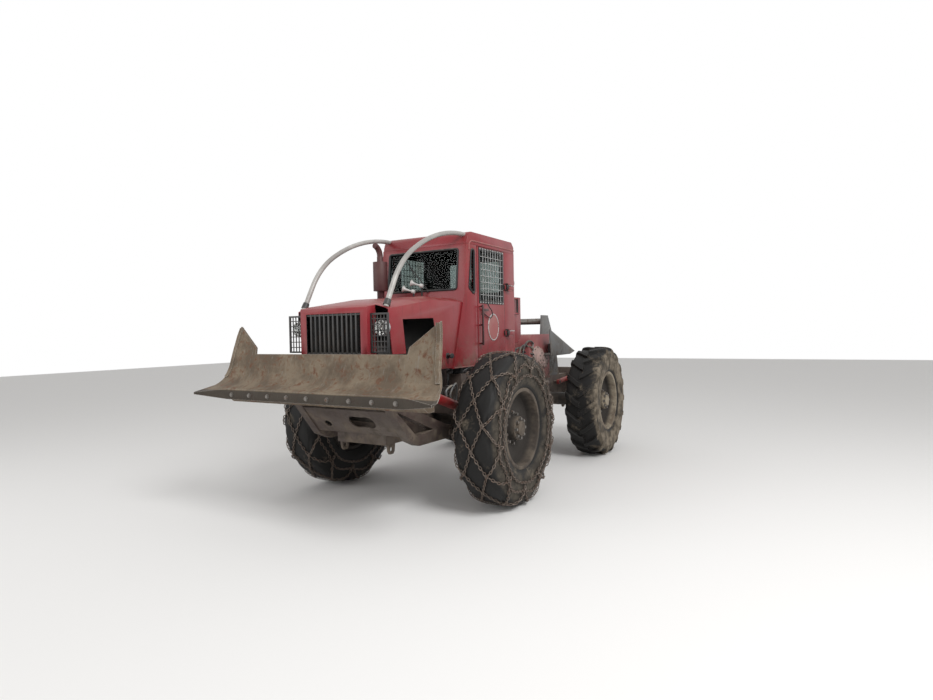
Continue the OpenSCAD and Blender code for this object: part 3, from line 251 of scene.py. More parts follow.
# %% [markdown]
# Most of the machine is sheet steel that was painted once and has since been
# rained on, scraped by branches and splashed from below.  The same five layers
# make all of it: the paint with slow bleaching, rubbed edges that show darker
# steel, rain streaks, dust on what faces the sky, and mud that gets thicker
# towards the ground.  Each finish only chooses its colours and amounts.

# %% Weathered paint
DUST = (0.36, 0.30, 0.23)
DRY_MUD = (0.165, 0.130, 0.096)
WET_MUD = (0.055, 0.043, 0.033)
BARE_STEEL = (0.20, 0.185, 0.175)
OLD_RUST = (0.115, 0.048, 0.026)
# Near black for faces that look inwards or down: painted shade inside the hood, cab and doors
PAINTED_SHADE_INSIDE = (0.012, 0.010, 0.010)
# What stands further from the middle plane than these has another paint
DOOR_HANDLE_Y = 0.583
WINCH_COVER_Y = 0.4205


def weathered_paint(
    name, paint, bleached, gloss=0.42, dust=0.35, mud_line=(0.9, 1.7), wear=0.7, chips=0.5,
    inner_shade_x=None, cover=None,
):
    f = Finish(name, gloss)
    fade = f.patches(0.42, 0.68, 1.6, 5.0, 0.6)
    coat = f.mix(fade, paint, bleached)
    streak = f.patches(0.52, 0.75, 3.0, 6.0, 0.6, f.stretched(7.0, 7.0, 0.7))
    coat = f.mix(f.times(streak, 0.35), coat, [c * 0.45 for c in paint])

    grit = f.noise(46.0, 6.0, 0.7)
    rubbed = f.times(f.edges(0.007), f.patches(0.42, 0.60, 11.0, 5.0, 0.65))
    chipped = f.times(f.band(grit, 0.66, 0.72), chips)
    worn = f.most(f.times(rubbed, wear), chipped)
    coat = f.mix(worn, coat, f.mix(f.band(grit, 0.35, 0.6), OLD_RUST, BARE_STEEL))

    settled = f.times(f.facing_up(), f.patches(0.35, 0.7, 5.0, 7.0, 0.65))
    film = f.times(f.patches(0.40, 0.75, 2.3, 6.0, 0.65), 0.28)
    dusty = f.times(f.most(settled, film), dust)
    coat = f.mix(dusty, coat, DUST)

    # Painted shade: faces that look inwards or down are darkened to near black
    if inner_shade_x is not None:
        coat = f.mix(f.painted_shade_faces(inner_shade_x), coat, PAINTED_SHADE_INSIDE)
    if cover is not None:
        tint, start = cover
        coat = f.mix(f.times(f.outboard(start, start + 0.001), 0.85), coat, tint)
    low = f.height(*mud_line)
    splash = f.patches(0.44, 0.60, 8.0, 8.0, 0.72, warp=0.4)
    spots = f.patches(0.60, 0.66, 30.0, 4.0, 0.6)
    mud = f.times(low, f.most(splash, spots))
    coat = f.mix(mud, coat, f.mix(f.patches(0.4, 0.6, 3.0), DRY_MUD, WET_MUD))

    f.colour(coat)
    f.roughness(f.blend_value(f.most(mud, dusty), gloss, 0.92))
    wavy = f.bump(f.noise(2.2, 2.0), 0.006, 0.35)
    f.bump(f.math("SUBTRACT", f.times(mud, f.noise(60.0)), worn, True), 0.0022, 0.7, wavy)
    return f.material


cab_red = weathered_paint(
    "cab_red", (0.205, 0.009, 0.015), (0.255, 0.024, 0.032), 0.36, 0.30, (1.0, 1.9), inner_shade_x=0.35)
hood_red = weathered_paint(
    "hood_red", (0.225, 0.009, 0.015), (0.265, 0.024, 0.032), 0.36, 0.30, (1.0, 1.9), inner_shade_x=1.9)
door_red = weathered_paint(
    "door_red", (0.205, 0.009, 0.015), (0.255, 0.024, 0.032), 0.36, 0.30, (1.0, 1.9), inner_shade_x=0.35,
    cover=((0.018, 0.017, 0.017), DOOR_HANDLE_Y))
winch_red = weathered_paint(
    "winch_red", (0.26, 0.062, 0.064), (0.36, 0.17, 0.155), 0.55, 0.5, (1.0, 1.7),
    cover=((0.42, 0.31, 0.28), WINCH_COVER_Y))
frame_paint = weathered_paint(
    "frame_paint", (0.060, 0.040, 0.034), (0.092, 0.072, 0.060), 0.6, 0.45, (0.4, 1.5))
grey_plate = weathered_paint(
    "grey_plate", (0.135, 0.135, 0.135), (0.20, 0.195, 0.185), 0.55, 0.5, (1.0, 2.0))
black_paint = weathered_paint(
    "black_paint", (0.018, 0.018, 0.019), (0.035, 0.034, 0.033), 0.5, 0.3, (0.6, 1.6), 0.5)
pale_tube = weathered_paint(
    "guard_tube", (0.30, 0.285, 0.27), (0.46, 0.445, 0.42), 0.30, 0.25, (1.6, 2.3), 0.5, 0.5)
cylinder_red = weathered_paint(
    "cylinder_red", (0.25, 0.014, 0.016), (0.30, 0.036, 0.032), 0.4, 0.4, (0.3, 1.4))
exhaust_maroon = weathered_paint(
    "exhaust_maroon", (0.060, 0.013, 0.015), (0.085, 0.030, 0.028), 0.55, 0.25, (0.0, 0.1))
faded_plate = weathered_paint("faded_plate", (0.30, 0.075, 0.075), (0.36, 0.16, 0.15), 0.5, 0.4, (1.0, 1.8))
print("painted finishes ready")

# %% [markdown]
# The blade lost its paint long ago.  What is left is rolled steel with a skin
# of rust and dried soil; its edges are rubbed bright, and the band under its
# lip, which faces down, is painted near black: painted shade.  Cast axles are
# nearly black with oil, piston
# rods are chromed, and chains and bolts are bare steel with rust in patches.
# One shader with many switches could make them all, but four short functions
# can be tuned alone.

# %% Steel, iron and chrome
# Where the band under the lip begins, which is painted near black as shade
BLADE_LIP_BACK, BLADE_LIP_TOP = 2.60, 1.236


def soil_worn_steel():
    f = Finish("blade_steel", 0.7)
    plate = f.mix(f.patches(0.40, 0.62, 3.5, 7.0, 0.65), (0.115, 0.085, 0.058), (0.21, 0.165, 0.115))
    rust = f.patches(0.50, 0.66, 14.0, 8.0, 0.7, warp=0.6)
    plate = f.mix(rust, plate, (0.13, 0.060, 0.032))
    scrape = f.patches(0.58, 0.70, 9.0, 5.0, 0.6, f.stretched(1.0, 7.0, 1.0))
    plate = f.mix(f.times(scrape, 0.6), plate, (0.24, 0.22, 0.19))
    # The band below and ahead of the lip's line faces down and is painted near black: painted shade
    below = f.height(BLADE_LIP_TOP, BLADE_LIP_TOP + 0.006)
    lip = f.times(below, f.band(f.axis("X"), BLADE_LIP_BACK, BLADE_LIP_BACK + 0.06))
    plate = f.mix(f.times(lip, 0.85), plate, (0.038, 0.032, 0.026))
    edge = f.edges(0.010, 0.01, 0.2)
    plate = f.mix(f.times(edge, 0.75), plate, (0.36, 0.33, 0.29))
    f.colour(plate)
    f.roughness(f.blend_value(edge, 0.78, 0.42))
    f.metallic(0.25)
    rough = f.bump(f.noise(24.0, 8.0, 0.7), 0.004, 0.6)
    f.bump(f.noise(3.0, 3.0), 0.012, 0.4, rough)
    return f.material


def cast_iron(colour=(0.035, 0.031, 0.028), mud_line=(0.4, 1.2)):
    f = Finish("oily_iron", 0.5)
    skin = f.mix(f.patches(0.4, 0.65, 6.0, 6.0), colour, [c * 2.2 for c in colour])
    mud = f.times(f.height(*mud_line), f.patches(0.40, 0.58, 7.0, 8.0, 0.7))
    skin = f.mix(mud, skin, f.mix(f.patches(0.42, 0.6, 4.0), DRY_MUD, WET_MUD))
    f.colour(skin)
    f.roughness(f.blend_value(mud, 0.5, 0.93))
    cast = f.bump(f.noise(180.0, 3.0), 0.0008, 0.5)
    f.bump(f.times(mud, f.noise(40.0, 6.0)), 0.006, 0.8, cast)
    return f.material


def chrome_rod():
    f = Finish("rod_chrome", 0.18, 1.0)
    film = f.patches(0.45, 0.7, 7.0, 6.0, 0.65)
    f.colour(f.mix(film, (0.62, 0.62, 0.63), (0.36, 0.31, 0.26)))
    f.roughness(f.blend_value(film, 0.14, 0.55))
    f.bump(f.noise(260.0), 0.0003, 0.3)
    return f.material


def bare_steel(name, colour=(0.20, 0.185, 0.17), rough=0.45):
    f = Finish(name, rough, 0.6)
    rust = f.patches(0.50, 0.66, 22.0, 8.0, 0.7)
    f.colour(f.mix(rust, colour, (0.10, 0.055, 0.034)))
    f.metallic(f.blend_value(rust, 0.7, 0.0))
    f.roughness(f.blend_value(rust, rough, 0.85))
    f.bump(f.noise(90.0, 6.0), 0.0012, 0.5)
    return f.material


blade_steel = soil_worn_steel()
oily_iron = cast_iron()
rod_steel = chrome_rod()
worn_steel = bare_steel("worn_steel")
chain_steel = bare_steel("chain_steel", (0.155, 0.125, 0.105), 0.5)
zinc = bare_steel("zinc_plate", (0.55, 0.55, 0.54), 0.32)
fin_metal = bare_steel("fin_metal", (0.055, 0.055, 0.055), 0.5)
lamp_shell = bare_steel("lamp_shell", (0.42, 0.42, 0.42), 0.3)
print("metal finishes ready")

# %% [markdown]
# Tyre rubber is black only where it rubs on something.  The walls of the rear
# pair carry pale dried soil and their tread is dark; the front pair, under the
# chains, is dark all over, partly as painted shade.  A painted picture could
# place that, but a mask from the distance to the machine's middle does it with
# two numbers, on every wheel.
# The rims use the same distance: dusty flanges and discs painted near black
# where they sink in, which is painted shade; the front rims are darker all
# over, painted shade as well.

# %% Rubber and rims
# Distances from the machine's middle plane
TYRE_WALL_Y = (1.285, 1.302)
RIM_DISC_Y, RIM_FLANGE_Y = 1.170, 1.245


def muddy_rubber(name, mud_amount, wall_dust, rubber=(0.013, 0.0125, 0.012)):
    f = Finish(name, 0.75)
    f.shader.inputs["Specular IOR Level"].default_value = 0.25
    patch = f.noise(2.6, 8.0, 0.68, warp=0.3)
    mud = f.band(patch, 0.62 - mud_amount * 0.3, 0.76 - mud_amount * 0.3)
    wall = f.times(f.outboard(*TYRE_WALL_Y), f.patches(0.30, 0.52, 6.0, 8.0, 0.7))
    mud = f.most(mud, f.times(wall, wall_dust))
    soil = f.mix(f.patches(0.38, 0.62, 9.0, 6.0, 0.6), (0.105, 0.086, 0.064), (0.27, 0.225, 0.17))
    worn = f.mix(f.edges(0.012, 0.01, 0.3), rubber, (0.050, 0.047, 0.043))
    f.colour(f.mix(f.times(mud, 0.85), worn, soil))
    f.roughness(f.blend_value(mud, 0.62, 0.95))
    fine = f.bump(f.noise(150.0, 4.0), 0.0010, 0.5)
    f.bump(f.times(mud, f.noise(28.0, 7.0, 0.7)), 0.010, 0.7, fine)
    return f.material


def rim_dirt_and_shade(name, dry, damp):
    f = Finish(name, 0.7)
    coat = f.mix(f.patches(0.40, 0.60, 5.0, 7.0, 0.65), dry, damp)
    coat = f.mix(f.patches(0.55, 0.68, 16.0, 8.0, 0.7), coat, (0.075, 0.055, 0.040))
    # Painted shade: the disc, sunk between the flanges, goes near black, and patches of the flange are spared
    deep = f.times(f.outboard(RIM_DISC_Y, RIM_FLANGE_Y), f.patches(0.20, 0.45, 7.0, 6.0, 0.6))
    coat = f.mix(f.math("SUBTRACT", 1.0, deep, True), coat, (0.030, 0.025, 0.021))
    f.colour(coat)
    f.roughness(0.85)
    f.bump(f.noise(26.0, 7.0, 0.7), 0.006, 0.6)
    return f.material


# The front walls get less dust than the rear ones: partly real, partly painted shade that keeps the front
# wheels dark
front_rubber = muddy_rubber("front_tyre_rubber", 0.20, 0.30)
rear_rubber = muddy_rubber("rear_tyre_rubber", 0.28, 1.0)
rim_coat = rim_dirt_and_shade("rear_rim", (0.30, 0.255, 0.19), (0.16, 0.125, 0.09))
# The front rims' colours are far darker than the rear rims': painted shade on the front wheels
front_rim_shade_coat = rim_dirt_and_shade("front_rim", (0.115, 0.092, 0.070), (0.055, 0.043, 0.034))
print("tyre and rim finishes ready")

# %% [markdown]
# The cab's panes are greenish and hazy with dust, and lamps have ribbed
# lenses.  Both let light through, with an index near that of a thin pane,
# because a full glass index on a single sheet would bend the view too much.

# %% Glass
def cab_glass():
    f = Finish("cab_glass", 0.04)
    f.shader.inputs["Transmission Weight"].default_value = 1.0
    f.shader.inputs["IOR"].default_value = 1.12
    haze = f.patches(0.45, 0.8, 3.0, 7.0, 0.7)
    f.colour(f.mix(haze, (0.36, 0.41, 0.40), (0.30, 0.31, 0.28)))
    f.roughness(f.blend_value(haze, 0.02, 0.30))
    return f.material


def lens(name):
    f = Finish(name, 0.06)
    f.shader.inputs["Transmission Weight"].default_value = 1.0
    f.shader.inputs["IOR"].default_value = 1.35
    film = f.patches(0.45, 0.75, 18.0, 5.0, 0.6)
    f.colour(f.mix(film, (0.92, 0.93, 0.92), (0.60, 0.56, 0.48)))
    f.roughness(f.blend_value(film, 0.05, 0.4))
    f.bump(f.noise(60.0, 1.0, 0.3, f.stretched(0.1, 6.0, 0.6)), 0.0015, 0.4)
    return f.material


glass = cab_glass()
lamp_glass = lens("lamp_glass")
print("glass ready")

# %% [markdown]
# Small soft things: moulded rubber, seat vinyl, cloth and hoses.  They differ
# in grain more than in colour, so each one has a fine bump and a little dust.
# The door's guard needs two finishes on one node, pale wires in a black frame,
# and a box of four soft limits round the window tells them apart.

# %% Rubber parts, cloth, hoses and the window guard
GUARD_WINDOW_X = (0.058, 0.608)
GUARD_WINDOW_Z = (2.093, 2.663)


def moulded_black(name="black_rubber", colour=(0.014, 0.014, 0.015), rough=0.62):
    f = Finish(name, rough)
    dust = f.times(f.facing_up(0.2, 0.9), f.patches(0.4, 0.7, 12.0, 6.0))
    f.colour(f.mix(f.times(dust, 0.5), colour, DUST))
    f.bump(f.noise(220.0, 3.0), 0.0005, 0.5)
    return f.material


def grained(name, colour, rough=0.85):
    """A matt skin with a fine grain: seat cloth and stippled enamel."""
    f = Finish(name, rough)
    f.colour(f.mix(f.patches(0.4, 0.7, 9.0, 6.0), colour, [c * 0.6 for c in colour]))
    f.bump(f.noise(520.0, 2.0, 0.5, f.stretched(1, 4, 1)), 0.0008, 0.7)
    return f.material


def hose_cover(name, colour):
    """Rubber over braid: a fine wrapped pattern, grey dust and oily patches."""
    f = Finish(name, 0.55)
    wrap = f.noise(160.0, 3.0, 0.5, f.stretched(1.0, 1.0, 3.0))
    dust = f.patches(0.45, 0.70, 13.0, 7.0, 0.65)
    f.colour(f.mix(f.times(dust, 0.6), colour, DUST))
    f.roughness(f.blend_value(dust, 0.38, 0.85))
    f.bump(wrap, 0.0006, 0.6)
    return f.material


def window_guard():
    """Pale wires inside the window's edges, black flat frame outside them."""
    f = Finish("window_guard", 0.45)
    across, upright = [
        f.times(f.band(f.axis(letter), low, low + 0.002),
                f.band(f.axis(letter), high - 0.002, high, 1.0, 0.0))
        for letter, (low, high) in (("X", GUARD_WINDOW_X), ("Z", GUARD_WINDOW_Z))]
    wires = f.mix(f.patches(0.45, 0.65, 30.0, 6.0), (0.40, 0.41, 0.41), (0.20, 0.18, 0.16))
    f.colour(f.mix(f.times(across, upright), (0.020, 0.020, 0.020), wires))
    f.bump(f.noise(120.0, 4.0), 0.0006, 0.5)
    return f.material


black_rubber = moulded_black()
black_vinyl = moulded_black("seat_vinyl", (0.020, 0.019, 0.019), 0.5)
horn_enamel = grained("horn_enamel", (0.62, 0.62, 0.60), 0.35)
pale_cloth = grained("pale_seat_cloth", (0.52, 0.50, 0.46))
hose_rubber = hose_cover("hose_rubber", (0.016, 0.016, 0.017))
grey_hose = hose_cover("grey_hose", (0.16, 0.165, 0.165))
guard_wire = window_guard()
print("small parts' finishes ready")

# %% [markdown]
# Real plate has no razor edges: a cut, a weld or years of rubbing round them
# off by a few millimetres, and that is what catches the light.  So each CAD
# solid is copied, its triangles are merged back into flat faces, and a bevel
# rounds its corners.  The copy rides on the node's own body and stands for it.

# %% Rounded copies of the CAD solids
EDGE_ROUNDING = 0.004
SMOOTH_ANGLE = math.radians(40)


def softened(node, material):
    mesh = nodes[node].data.copy()
    mesh.name = node + "_form"
    work = bmesh.new()
    work.from_mesh(mesh)
    bmesh.ops.remove_doubles(work, verts=work.verts, dist=2e-5)
    bmesh.ops.dissolve_limit(work, angle_limit=math.radians(1.0), verts=work.verts, edges=work.edges)
    work.to_mesh(mesh)
    work.free()
    piece = placed(node + "_form", mesh)
    bevel = piece.modifiers.new("round edges", "BEVEL")
    bevel.width = EDGE_ROUNDING
    bevel.segments = 2
    bevel.limit_method = "ANGLE"
    bevel.angle_limit = SMOOTH_ANGLE
    bevel.use_clamp_overlap = True
    graph = bpy.context.evaluated_depsgraph_get()
    finished = bpy.data.meshes.new_from_object(piece.evaluated_get(graph))
    piece.modifiers.clear()
    piece.data = finished
    finished.materials.clear()
    finished.materials.append(material)
    finished.shade_smooth()
    finished.set_sharp_from_angle(angle=SMOOTH_ANGLE)
    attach(piece, body_of_node[node])
    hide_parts(node)
    return piece


FINISHES = {
    cab_red: ["cab_body", "cab_roof", "rear_tank"],
    door_red: ["door_left", "door_right"],
    hood_red: ["hood"],
    cylinder_red: [
        "lift_barrels", "steer_barrel_left", "steer_barrel_right", "butt_barrels"],
    winch_red: ["winch_housing"],
    frame_paint: ["front_chassis", "rear_chassis", "blade_arms", "butt_plate", "tie_downs_front",
                  "tie_downs_rear"],
    grey_plate: ["cable_arch", "side_plates"],
    black_paint: ["radiator", "grille", "lamp_guards", "steps", "console"],
    guard_wire: ["door_left_guard", "door_right_guard"],
    blade_steel: ["blade"],
    oily_iron: ["front_axle", "rear_axle", "engine"],
    rod_steel: ["lift_rods", "steer_rod_left", "steer_rod_right", "butt_rods"],
    worn_steel: ["winch_drums", "arch_rollers"],
    rim_coat: ["rim_rl", "rim_rr"],
    front_rim_shade_coat: ["rim_fl", "rim_fr"],
    black_rubber: ["cab_mounts"],
    exhaust_maroon: ["exhaust"],
    lamp_shell: ["headlamps"],
}
for material, members in FINISHES.items():
    for node in members:
        softened(node, material)
for node in ("cab_glass", "door_left_glass", "door_right_glass"):
    nodes[node].data.materials.clear()
    nodes[node].data.materials.append(glass)
print(sum(len(members) for members in FINISHES.values()), "solids rounded and finished")

# %% [markdown]
# Much of this machine is the same small thing many times over: chain links,
# tyre lugs, wheel nuts, radiator fins, bolts.  Geometry Nodes make these.  A
# recipe below is one node tree with named inputs; it ends by turning its
# copies into real faces and giving them a material.  Its result is kept as a
# plain mesh and the modifier is thrown away, so nothing live is left behind.

# %% A workshop for Geometry Nodes
class Recipe(NodeTree):
    """A node tree with named sizes, run on a small starting mesh."""

    def __init__(self, name, **sizes):
        super().__init__(bpy.data.node_groups.new(name, "GeometryNodeTree"))
        face = self.tree.interface
        face.new_socket("Geometry", in_out="INPUT", socket_type="NodeSocketGeometry")
        face.new_socket("Geometry", in_out="OUTPUT", socket_type="NodeSocketGeometry")
        self.socket_of = {}
        for label, value in {**sizes, "material": None}.items():
            kind = "Material" if value is None else "Int" if isinstance(value, int) else "Float"
            socket = face.new_socket(label, in_out="INPUT", socket_type="NodeSocket" + kind)
            if value is not None:
                socket.default_value = value
            self.socket_of[label] = socket.identifier
        self.given = self.step("NodeGroupInput").outputs

    def done(self, geometry):
        real = self.step("GeometryNodeRealizeInstances", Geometry=geometry)
        coat = self.step(
            "GeometryNodeSetMaterial", Geometry=real.outputs[0], Material=self.given["material"])
        self.step("NodeGroupOutput", Geometry=coat.outputs[0])
        return self

    def make(self, name, mesh, material, body="front_frame", place=(0, 0, 0), smooth=40, slot=None,
             **sizes):
        """Runs the tree on the mesh, keeps the result as a plain mesh and puts it on a body."""
        seed = placed(name + "_seed", mesh)
        modifier = seed.modifiers.new(self.tree.name, "NODES")
        modifier.node_group = self.tree
        for label, value in {**sizes, "material": material}.items():
            modifier[self.socket_of[label]] = value
        graph = bpy.context.evaluated_depsgraph_get()
        result = bpy.data.meshes.new_from_object(seed.evaluated_get(graph))
        bpy.data.objects.remove(seed)
        result.transform(Matrix.Translation(place))
        return piece_of(name, result, material, body, smooth, slot)


# The record's material slot for each finish, unless a piece names another; piece_of only looks it up
SLOT_OF = {
    black_paint: "black_paint", fin_metal: "black_paint", faded_plate: "red_paint", pale_tube: "pale_tube",
    black_rubber: "mount_rubber", hose_rubber: "mount_rubber", grey_hose: "mount_rubber",
    front_rubber: "tyre_rubber", rear_rubber: "tyre_rubber",
    worn_steel: "worn_steel", chain_steel: "worn_steel",
    zinc: "lamp_metal", horn_enamel: "lamp_metal", lamp_glass: "glass",
    black_vinyl: "cushion", pale_cloth: "cushion",
}


def piece_of(name, mesh, material, body, smooth=40, slot=None):
    """A finished mesh as an object at the origin, with its material, on its body if it has one."""
    mesh.name = name
    mesh.materials.clear()
    mesh.materials.append(material)
    mesh.shade_smooth()
    mesh.set_sharp_from_angle(angle=math.radians(smooth))
    piece = placed(name, mesh)
    if body:
        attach(piece, body)
    slot or SLOT_OF[material]
    return piece


def joined(*pieces):
    """Several pieces of one body as one object, kept under the first one's name."""
    work = bmesh.new()
    for piece in pieces:
        work.from_mesh(piece.data)
    work.to_mesh(pieces[0].data)
    work.free()
    for piece in pieces[1:]:
        bpy.data.objects.remove(piece)
    return pieces[0]


print(len(SLOT_OF), "finishes fill", len(set(SLOT_OF.values())), "slots")

# %% [markdown]
# A recipe starts from something small.  For a tube or a chain that is a line of
# loose edges; for bolts it is single points that each store which way is out.
# Hoses bend smoothly through a few known places, so a curve is laid through
# these and cut into short steps.

# %% Starting meshes and lines
def mesh_of(name, work, turn_out=True):
    """The worked faces as a plain mesh, turned outwards unless they already are."""
    if turn_out:
        bmesh.ops.recalc_face_normals(work, faces=work.faces)
    mesh = bpy.data.meshes.new(name)
    work.to_mesh(mesh)
    work.free()
    return mesh


def on_circle(radius, angle, y=0.0):
    """A place round the Y axis; angle 0 is at the top and a quarter turn is ahead."""
    return (radius * math.sin(angle), y, radius * math.cos(angle))


def wire_mesh(name, lines, closed=False):
    """Loose edges through lists of points; the start of every tube and chain."""
    mesh = bpy.data.meshes.new(name)
    points, edges = [], []
    for line in lines:
        first = len(points)
        points += [tuple(p) for p in line]
        edges += [(first + i, first + i + 1) for i in range(len(line) - 1)]
        if closed:
            edges.append((len(points) - 1, first))
    mesh.from_pydata(points, edges, [])
    return mesh


def point_mesh(name, places):
    """Points with the direction in which each of them looks, as (place, outward) pairs."""
    mesh = bpy.data.meshes.new(name)
    mesh.from_pydata([tuple(place) for place, _ in places], [], [])
    outward = mesh.attributes.new("outward", "FLOAT_VECTOR", "POINT")
    for item, (_, way) in zip(outward.data, places):
        item.vector = way
    return mesh


def smooth_route(points, steps=8):
    """A smooth line through every point, for hoses and cables."""
    p = [Vector(q) for q in points]
    p = [2 * p[0] - p[1]] + p + [2 * p[-1] - p[-2]]
    line = []
    for i in range(1, len(p) - 2):
        for k in range(steps):
            t = k / steps
            line.append(0.5 * (2 * p[i] + (p[i + 1] - p[i - 1]) * t
                + (2 * p[i - 1] - 5 * p[i] + 4 * p[i + 1] - p[i + 2]) * t * t
                + (3 * p[i] - p[i - 1] - 3 * p[i + 1] + p[i + 2]) * t ** 3))
    return line + [p[-2]]


print("a place a quarter turn ahead:", [round(v, 3) for v in on_circle(1.0, math.pi / 2)])

# %% [markdown]
# "ring" copies a mesh round the Y axis, which is the way a wheel turns.  "row"
# repeats a mesh at an even step.  "tube" bends a round bar along a line with
# eased corners.  An array modifier could do the first two, but a tree keeps
# its count and step as named inputs.

# %% Ring, row and tube
def ring_recipe():
    r = Recipe("ring", count=12, turn=0.0)
    index = r.step("GeometryNodeInputIndex").outputs[0]
    angle = r.math("MULTIPLY", r.math("ADD", index, r.given["turn"]),
                  r.math("DIVIDE", 2 * math.pi, r.given["count"]))
    euler = r.step("ShaderNodeCombineXYZ", Y=angle)
    spin = r.step("FunctionNodeEulerToRotation", Euler=euler.outputs[0])
    points = r.step("GeometryNodePoints", Count=r.given["count"])
    copies = r.step("GeometryNodeInstanceOnPoints", Points=points.outputs[0],
                    Instance=r.given["Geometry"], Rotation=spin.outputs[0])
    return r.done(copies.outputs[0])


def row_recipe():
    r = Recipe("row", count=8, step_x=0.0, step_y=0.0, step_z=0.0)
    stride = r.step("ShaderNodeCombineXYZ", X=r.given["step_x"], Y=r.given["step_y"], Z=r.given["step_z"])
    line = r.step("GeometryNodeMeshLine", Count=r.given["count"], Offset=stride.outputs[0])
    copies = r.step("GeometryNodeInstanceOnPoints", Points=line.outputs[0],
                    Instance=r.given["Geometry"])
    return r.done(copies.outputs[0])


def tube_recipe():
    r = Recipe("tube", radius=0.01, corner=0.0, sides=10)
    curve = r.step("GeometryNodeMeshToCurve", Mesh=r.given["Geometry"])
    eased = r.step("GeometryNodeFilletCurve", {"mode": "POLY"}, Curve=curve.outputs[0],
                   Count=5, Radius=r.given["corner"], Limit_Radius=True)
    ring = r.step("GeometryNodeCurvePrimitiveCircle", Resolution=r.given["sides"],
                  Radius=r.given["radius"])
    bar = r.step("GeometryNodeCurveToMesh", Curve=eased.outputs[0],
                 Profile_Curve=ring.outputs[0], Fill_Caps=True)
    return r.done(bar.outputs[0])


def tubes(name, lines, material, radius, sides=8, corner=0.0, body="front_frame", closed=False, slot=None):
    """Round bars or hoses along lines, as one piece."""
    return tube.make(name, wire_mesh(name + "_lines", lines, closed), material, body,
                     slot=slot, radius=radius, corner=corner, sides=sides)


ring, row, tube = ring_recipe(), row_recipe(), tube_recipe()
print("recipes", [recipe.tree.name for recipe in (ring, row, tube)])

# %% [markdown]
# A bolt shows as a hexagon head on its washer.  The tree sets one wherever a
# point says, along the direction stored in that point, and gives each head its
# own chance turn, with a fixed seed, as a spanner leaves it.

# %% Bolts
def bolts_recipe():
    r = Recipe("bolts", head=0.012, height=0.009, washer=0.018)
    hexagon = r.step("GeometryNodeMeshCylinder", Vertices=6, Radius=r.given["head"], Depth=r.given["height"])
    disc = r.step("GeometryNodeMeshCylinder", Vertices=14, Radius=r.given["washer"],
                  Depth=r.math("MULTIPLY", r.given["height"], 0.5))
    lift = r.step("ShaderNodeCombineXYZ", Z=r.math("MULTIPLY", r.given["height"], 0.6))
    raised = r.step("GeometryNodeTransform", Geometry=hexagon.outputs["Mesh"], Translation=lift.outputs[0])
    both = r.step("GeometryNodeJoinGeometry")
    r.join(raised.outputs[0], both.inputs[0])
    r.join(disc.outputs["Mesh"], both.inputs[0])
    outward = r.step("GeometryNodeInputNamedAttribute", {"data_type": "FLOAT_VECTOR"}, Name="outward")
    aim = r.step("FunctionNodeAlignRotationToVector", {"axis": "Z"}, Vector=outward.outputs[0])
    chance = r.step("FunctionNodeRandomValue", Seed=7)
    euler = r.step("ShaderNodeCombineXYZ", Z=chance.outputs[1])
    spin = r.step("FunctionNodeEulerToRotation", Euler=euler.outputs[0])
    turned = r.step("FunctionNodeRotateRotation", {"rotation_space": "LOCAL"},
                    Rotation=aim.outputs[0], Rotate_By=spin.outputs[0])
    copies = r.step("GeometryNodeInstanceOnPoints", Points=r.given["Geometry"],
                    Instance=both.outputs[0], Rotation=turned.outputs[0])
    return r.done(copies.outputs[0])


def bolt_set(name, places, head, height, washer, material=worn_steel, body="front_frame"):
    return bolts.make(name, point_mesh(name + "_places", places), material, body,
                      head=head, height=height, washer=washer)


bolts = bolts_recipe()
print("recipe", bolts.tree.name)

# %% [markdown]
# A tyre's carcass is a lathe shape: one section turned round the axle.  A
# section is written as radius and distance from the tyre's middle.  The rear
# pair keeps big blunt lugs in a chevron.  A lug follows the curve of the tyre,
# so it is bent round the axle before the ring recipe repeats it.

# %% Rear tyres and their lugs
def wheel_centre(corner):
    low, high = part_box("rim_" + corner)
    tyre_low, tyre_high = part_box("tyre_" + corner)
    return Vector(((low[0] + high[0]) / 2, (tyre_low[1] + tyre_high[1]) / 2, (low[2] + high[2]) / 2))


def lathe(name, section, steps):
    """A closed section of (radius, y) turned round the Y axis."""
    work = bmesh.new()
    rings = []
    for k in range(steps):
        a = 2 * math.pi * k / steps
        rings.append([work.verts.new(on_circle(r, a, y)) for r, y in section])
    for k in range(steps):
        here, there = rings[k], rings[(k + 1) % steps]
        for i in range(len(section)):
            j = (i + 1) % len(section)
            work.faces.new((here[i], here[j], there[j], there[i]))
    return mesh_of(name, work)


BEAD = 0.3955
SIDEWALL = [(BEAD, 0.160), (0.408, 0.176), (0.425, 0.190), (0.436, 0.191), (0.440, 0.196), (0.452, 0.197),
            (0.456, 0.202), (0.50, 0.209), (0.56, 0.213), (0.61, 0.2125), (0.614, 0.2145), (0.630, 0.2145),
            (0.634, 0.211), (0.66, 0.2075)]
WORN_TREAD = [(0.695, 0.198), (0.722, 0.183), (0.738, 0.160), (0.746, 0.120), (0.748, 0.060), (0.7485, 0.0)]
LUGGED_CROWN = [(0.690, 0.192), (0.705, 0.172), (0.713, 0.130), (0.716, 0.060), (0.717, 0.0)]


def full_section(crown):
    half = SIDEWALL + crown
    return half + [(r, -y) for r, y in reversed(half[:-1])]


# Columns: distance from the middle, radius of the lug's top, radius of its foot
LUG_LINE = [(-0.010, 0.7545, 0.700), (0.030, 0.7545, 0.700), (0.075, 0.7540, 0.700), (0.115, 0.7525, 0.700),
            (0.150, 0.748, 0.695), (0.178, 0.738, 0.685), (0.196, 0.720, 0.672), (0.207, 0.697, 0.655),
            (0.2135, 0.668, 0.640), (0.2125, 0.648, 0.640)]
LUG_SWEEP = math.radians(38)
# Across a lug: part of the half width, part of the height
LUG_ACROSS = [(-1.12, 0.0), (-1.0, 0.80), (-0.80, 1.0), (0.80, 1.0), (1.0, 0.80), (1.12, 0.0)]
LUG_HALF = 0.029
LUG_TOP_RADIUS = 0.75
LUGS = 18


